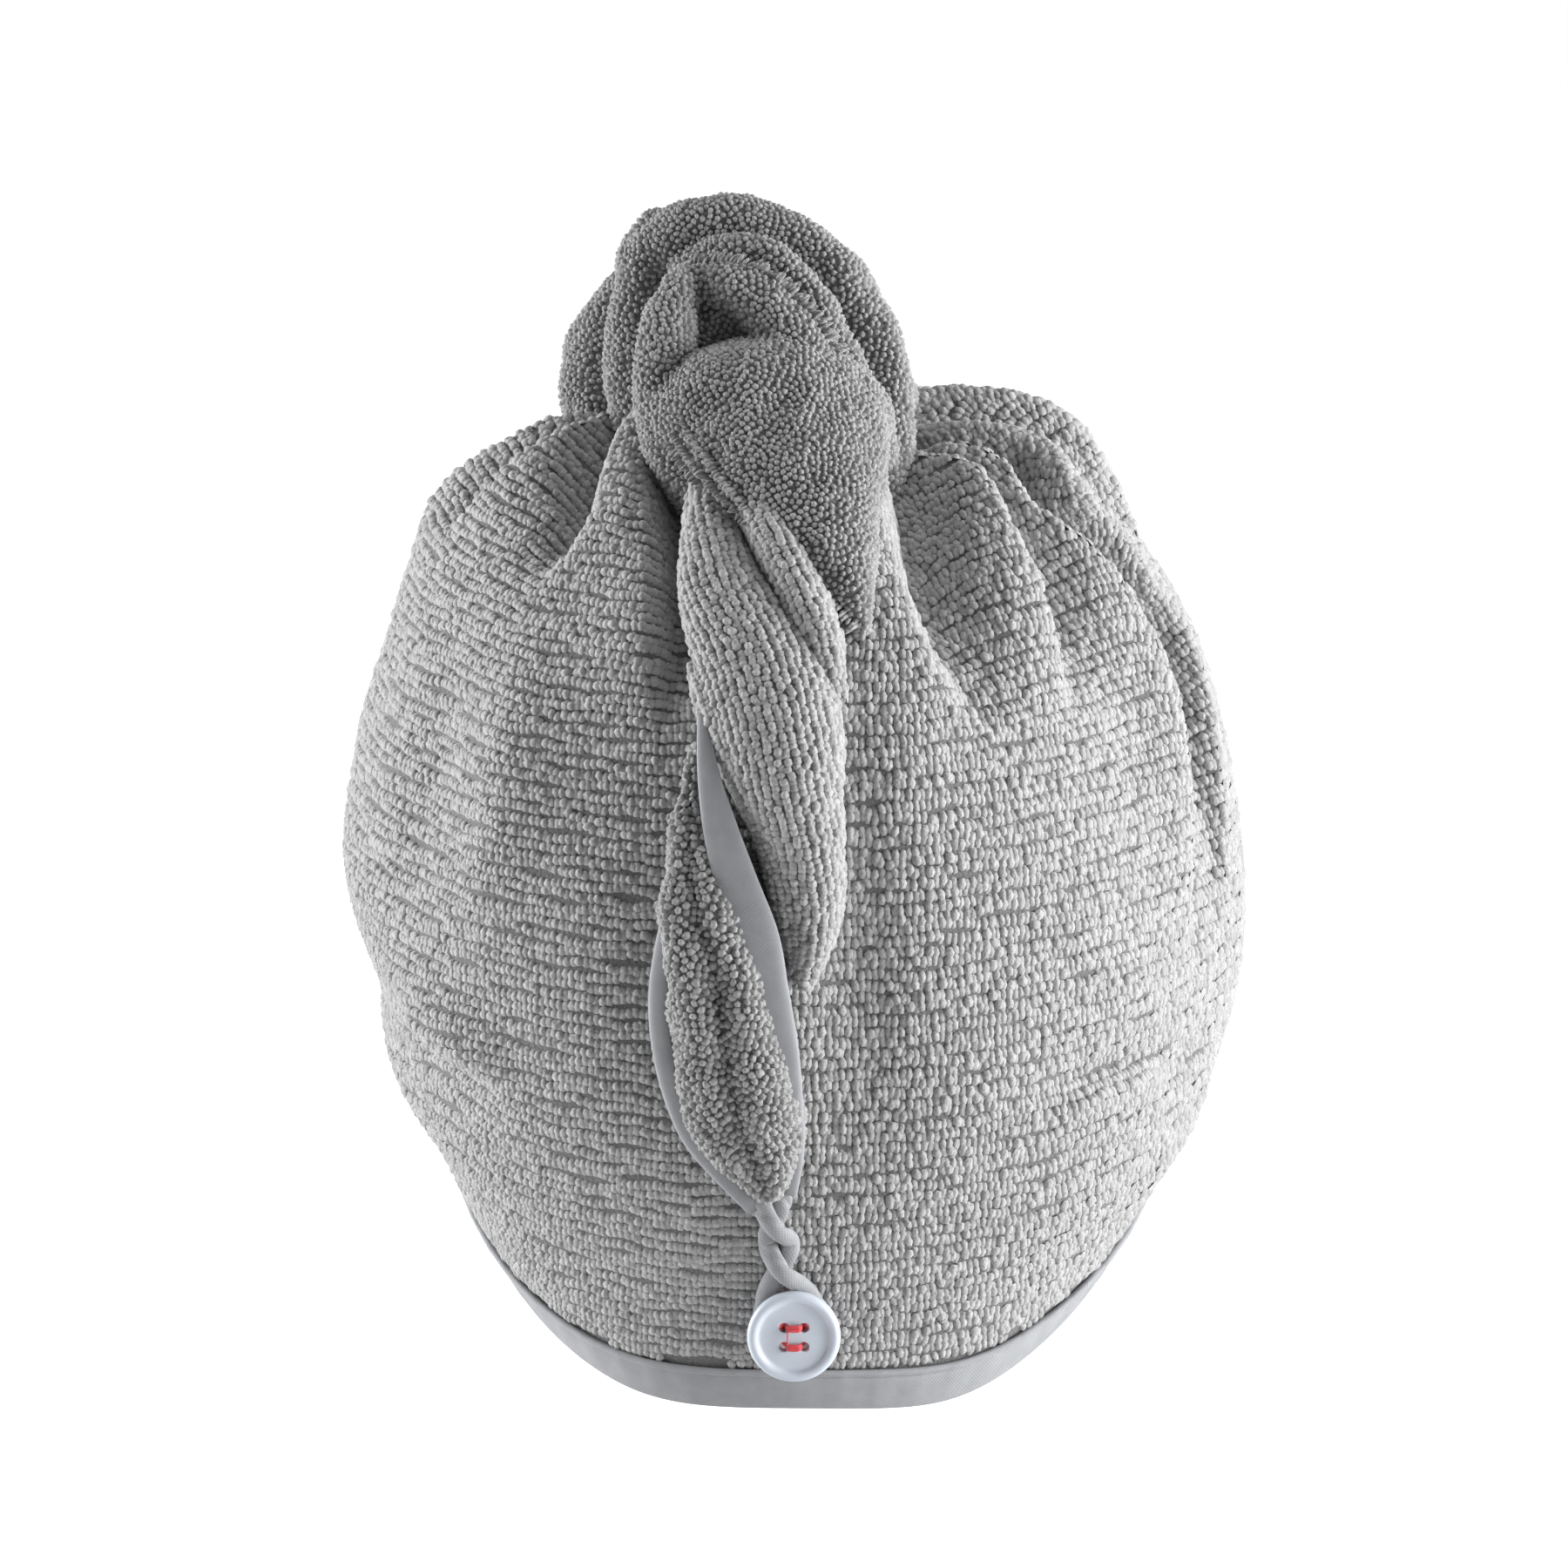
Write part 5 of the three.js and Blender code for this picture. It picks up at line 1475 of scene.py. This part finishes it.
# %% Camera
LENS, SENSOR = 141.5, 36
PLACE, LOOKING_DOWN = (-0.0011, -1.4772, 0.1768), 10
camera_data = bpy.data.cameras.new("camera")
camera_data.lens = LENS
camera_data.sensor_width = SENSOR
camera_data.clip_end = 50
camera = bpy.data.objects.new("camera", camera_data)
camera.location = PLACE
camera.rotation_euler = (math.radians(90 - LOOKING_DOWN), 0, 0)
bpy.context.scene.collection.objects.link(camera)
bpy.context.scene.camera = camera
bpy.context.scene.view_settings.view_transform = "Standard"
print("camera", tuple(round(v, 3) for v in camera.location))

# %% Floor
FLOOR = dict(reach=6, height=-0.3)
corners = [
    (x * FLOOR["reach"], y * FLOOR["reach"], FLOOR["height"])
    for x, y in ((-1, -1), (1, -1), (1, 1), (-1, 1))
]
floor_mesh = bpy.data.meshes.new("floor")
floor_mesh.from_pydata(corners, [], [(0, 1, 2, 3)])
floor_paint, tree, principled = new_material("floor_paint", Roughness=0.9)
principled.inputs["Base Color"].default_value = (0.6, 0.6, 0.6, 1)
principled.inputs["Emission Color"].default_value = (1, 1, 1, 1)
path = add(tree, "ShaderNodeLightPath")
glow = scalar(tree, "MULTIPLY_ADD", path.outputs["Is Camera Ray"], 0.9, 0.12)
tree.links.new(glow, principled.inputs["Emission Strength"])
new_object("floor", floor_mesh, floor_paint)

# %% Surround
world = bpy.data.worlds.new("surround")
bpy.context.scene.world = world
world.use_nodes = True
tree = world.node_tree
tree.nodes.clear()
seen = add(tree, "ShaderNodeBackground", Strength=1.0)
lit = add(tree, "ShaderNodeBackground", Strength=0.075)
for node in (seen, lit):
    node.inputs["Color"].default_value = (1, 1, 1, 1)
path = add(tree, "ShaderNodeLightPath")
links = {0: path.outputs["Is Camera Ray"], 1: lit.outputs[0], 2: seen.outputs[0]}
either = add(tree, "ShaderNodeMixShader", links)
add(tree, "ShaderNodeOutputWorld", {0: either.outputs[0]})
print("surround ready")


# %% Lamps
def lamp(name, place, size, power, aim=(0, 0, -0.08)):
    data = bpy.data.lights.new(name, "AREA")
    data.shape = "DISK"
    data.size = size
    data.energy = power
    thing = bpy.data.objects.new(name, data)
    thing.location = place
    thing.rotation_euler = (Vector(aim) - Vector(place)).to_track_quat("-Z", "Y").to_euler()
    bpy.context.scene.collection.objects.link(thing)


# Name, place and width in metres, power in watts
LAMPS = [
    ("lamp_right", (1.2, -0.3, 0.05), 0.9, 29),
    ("lamp_left", (-1.2, 0.1, 0.05), 0.9, 27),
    ("lamp_top", (0.35, 0.1, 1.15), 0.9, 7),
    ("lamp_low_right", (0.7, -0.8, -0.2), 0.6, 2.2),
]
for values in LAMPS:
    lamp(*values)
print(len(LAMPS), "lamps")

# %% Updating the view layer
bpy.context.view_layer.update()
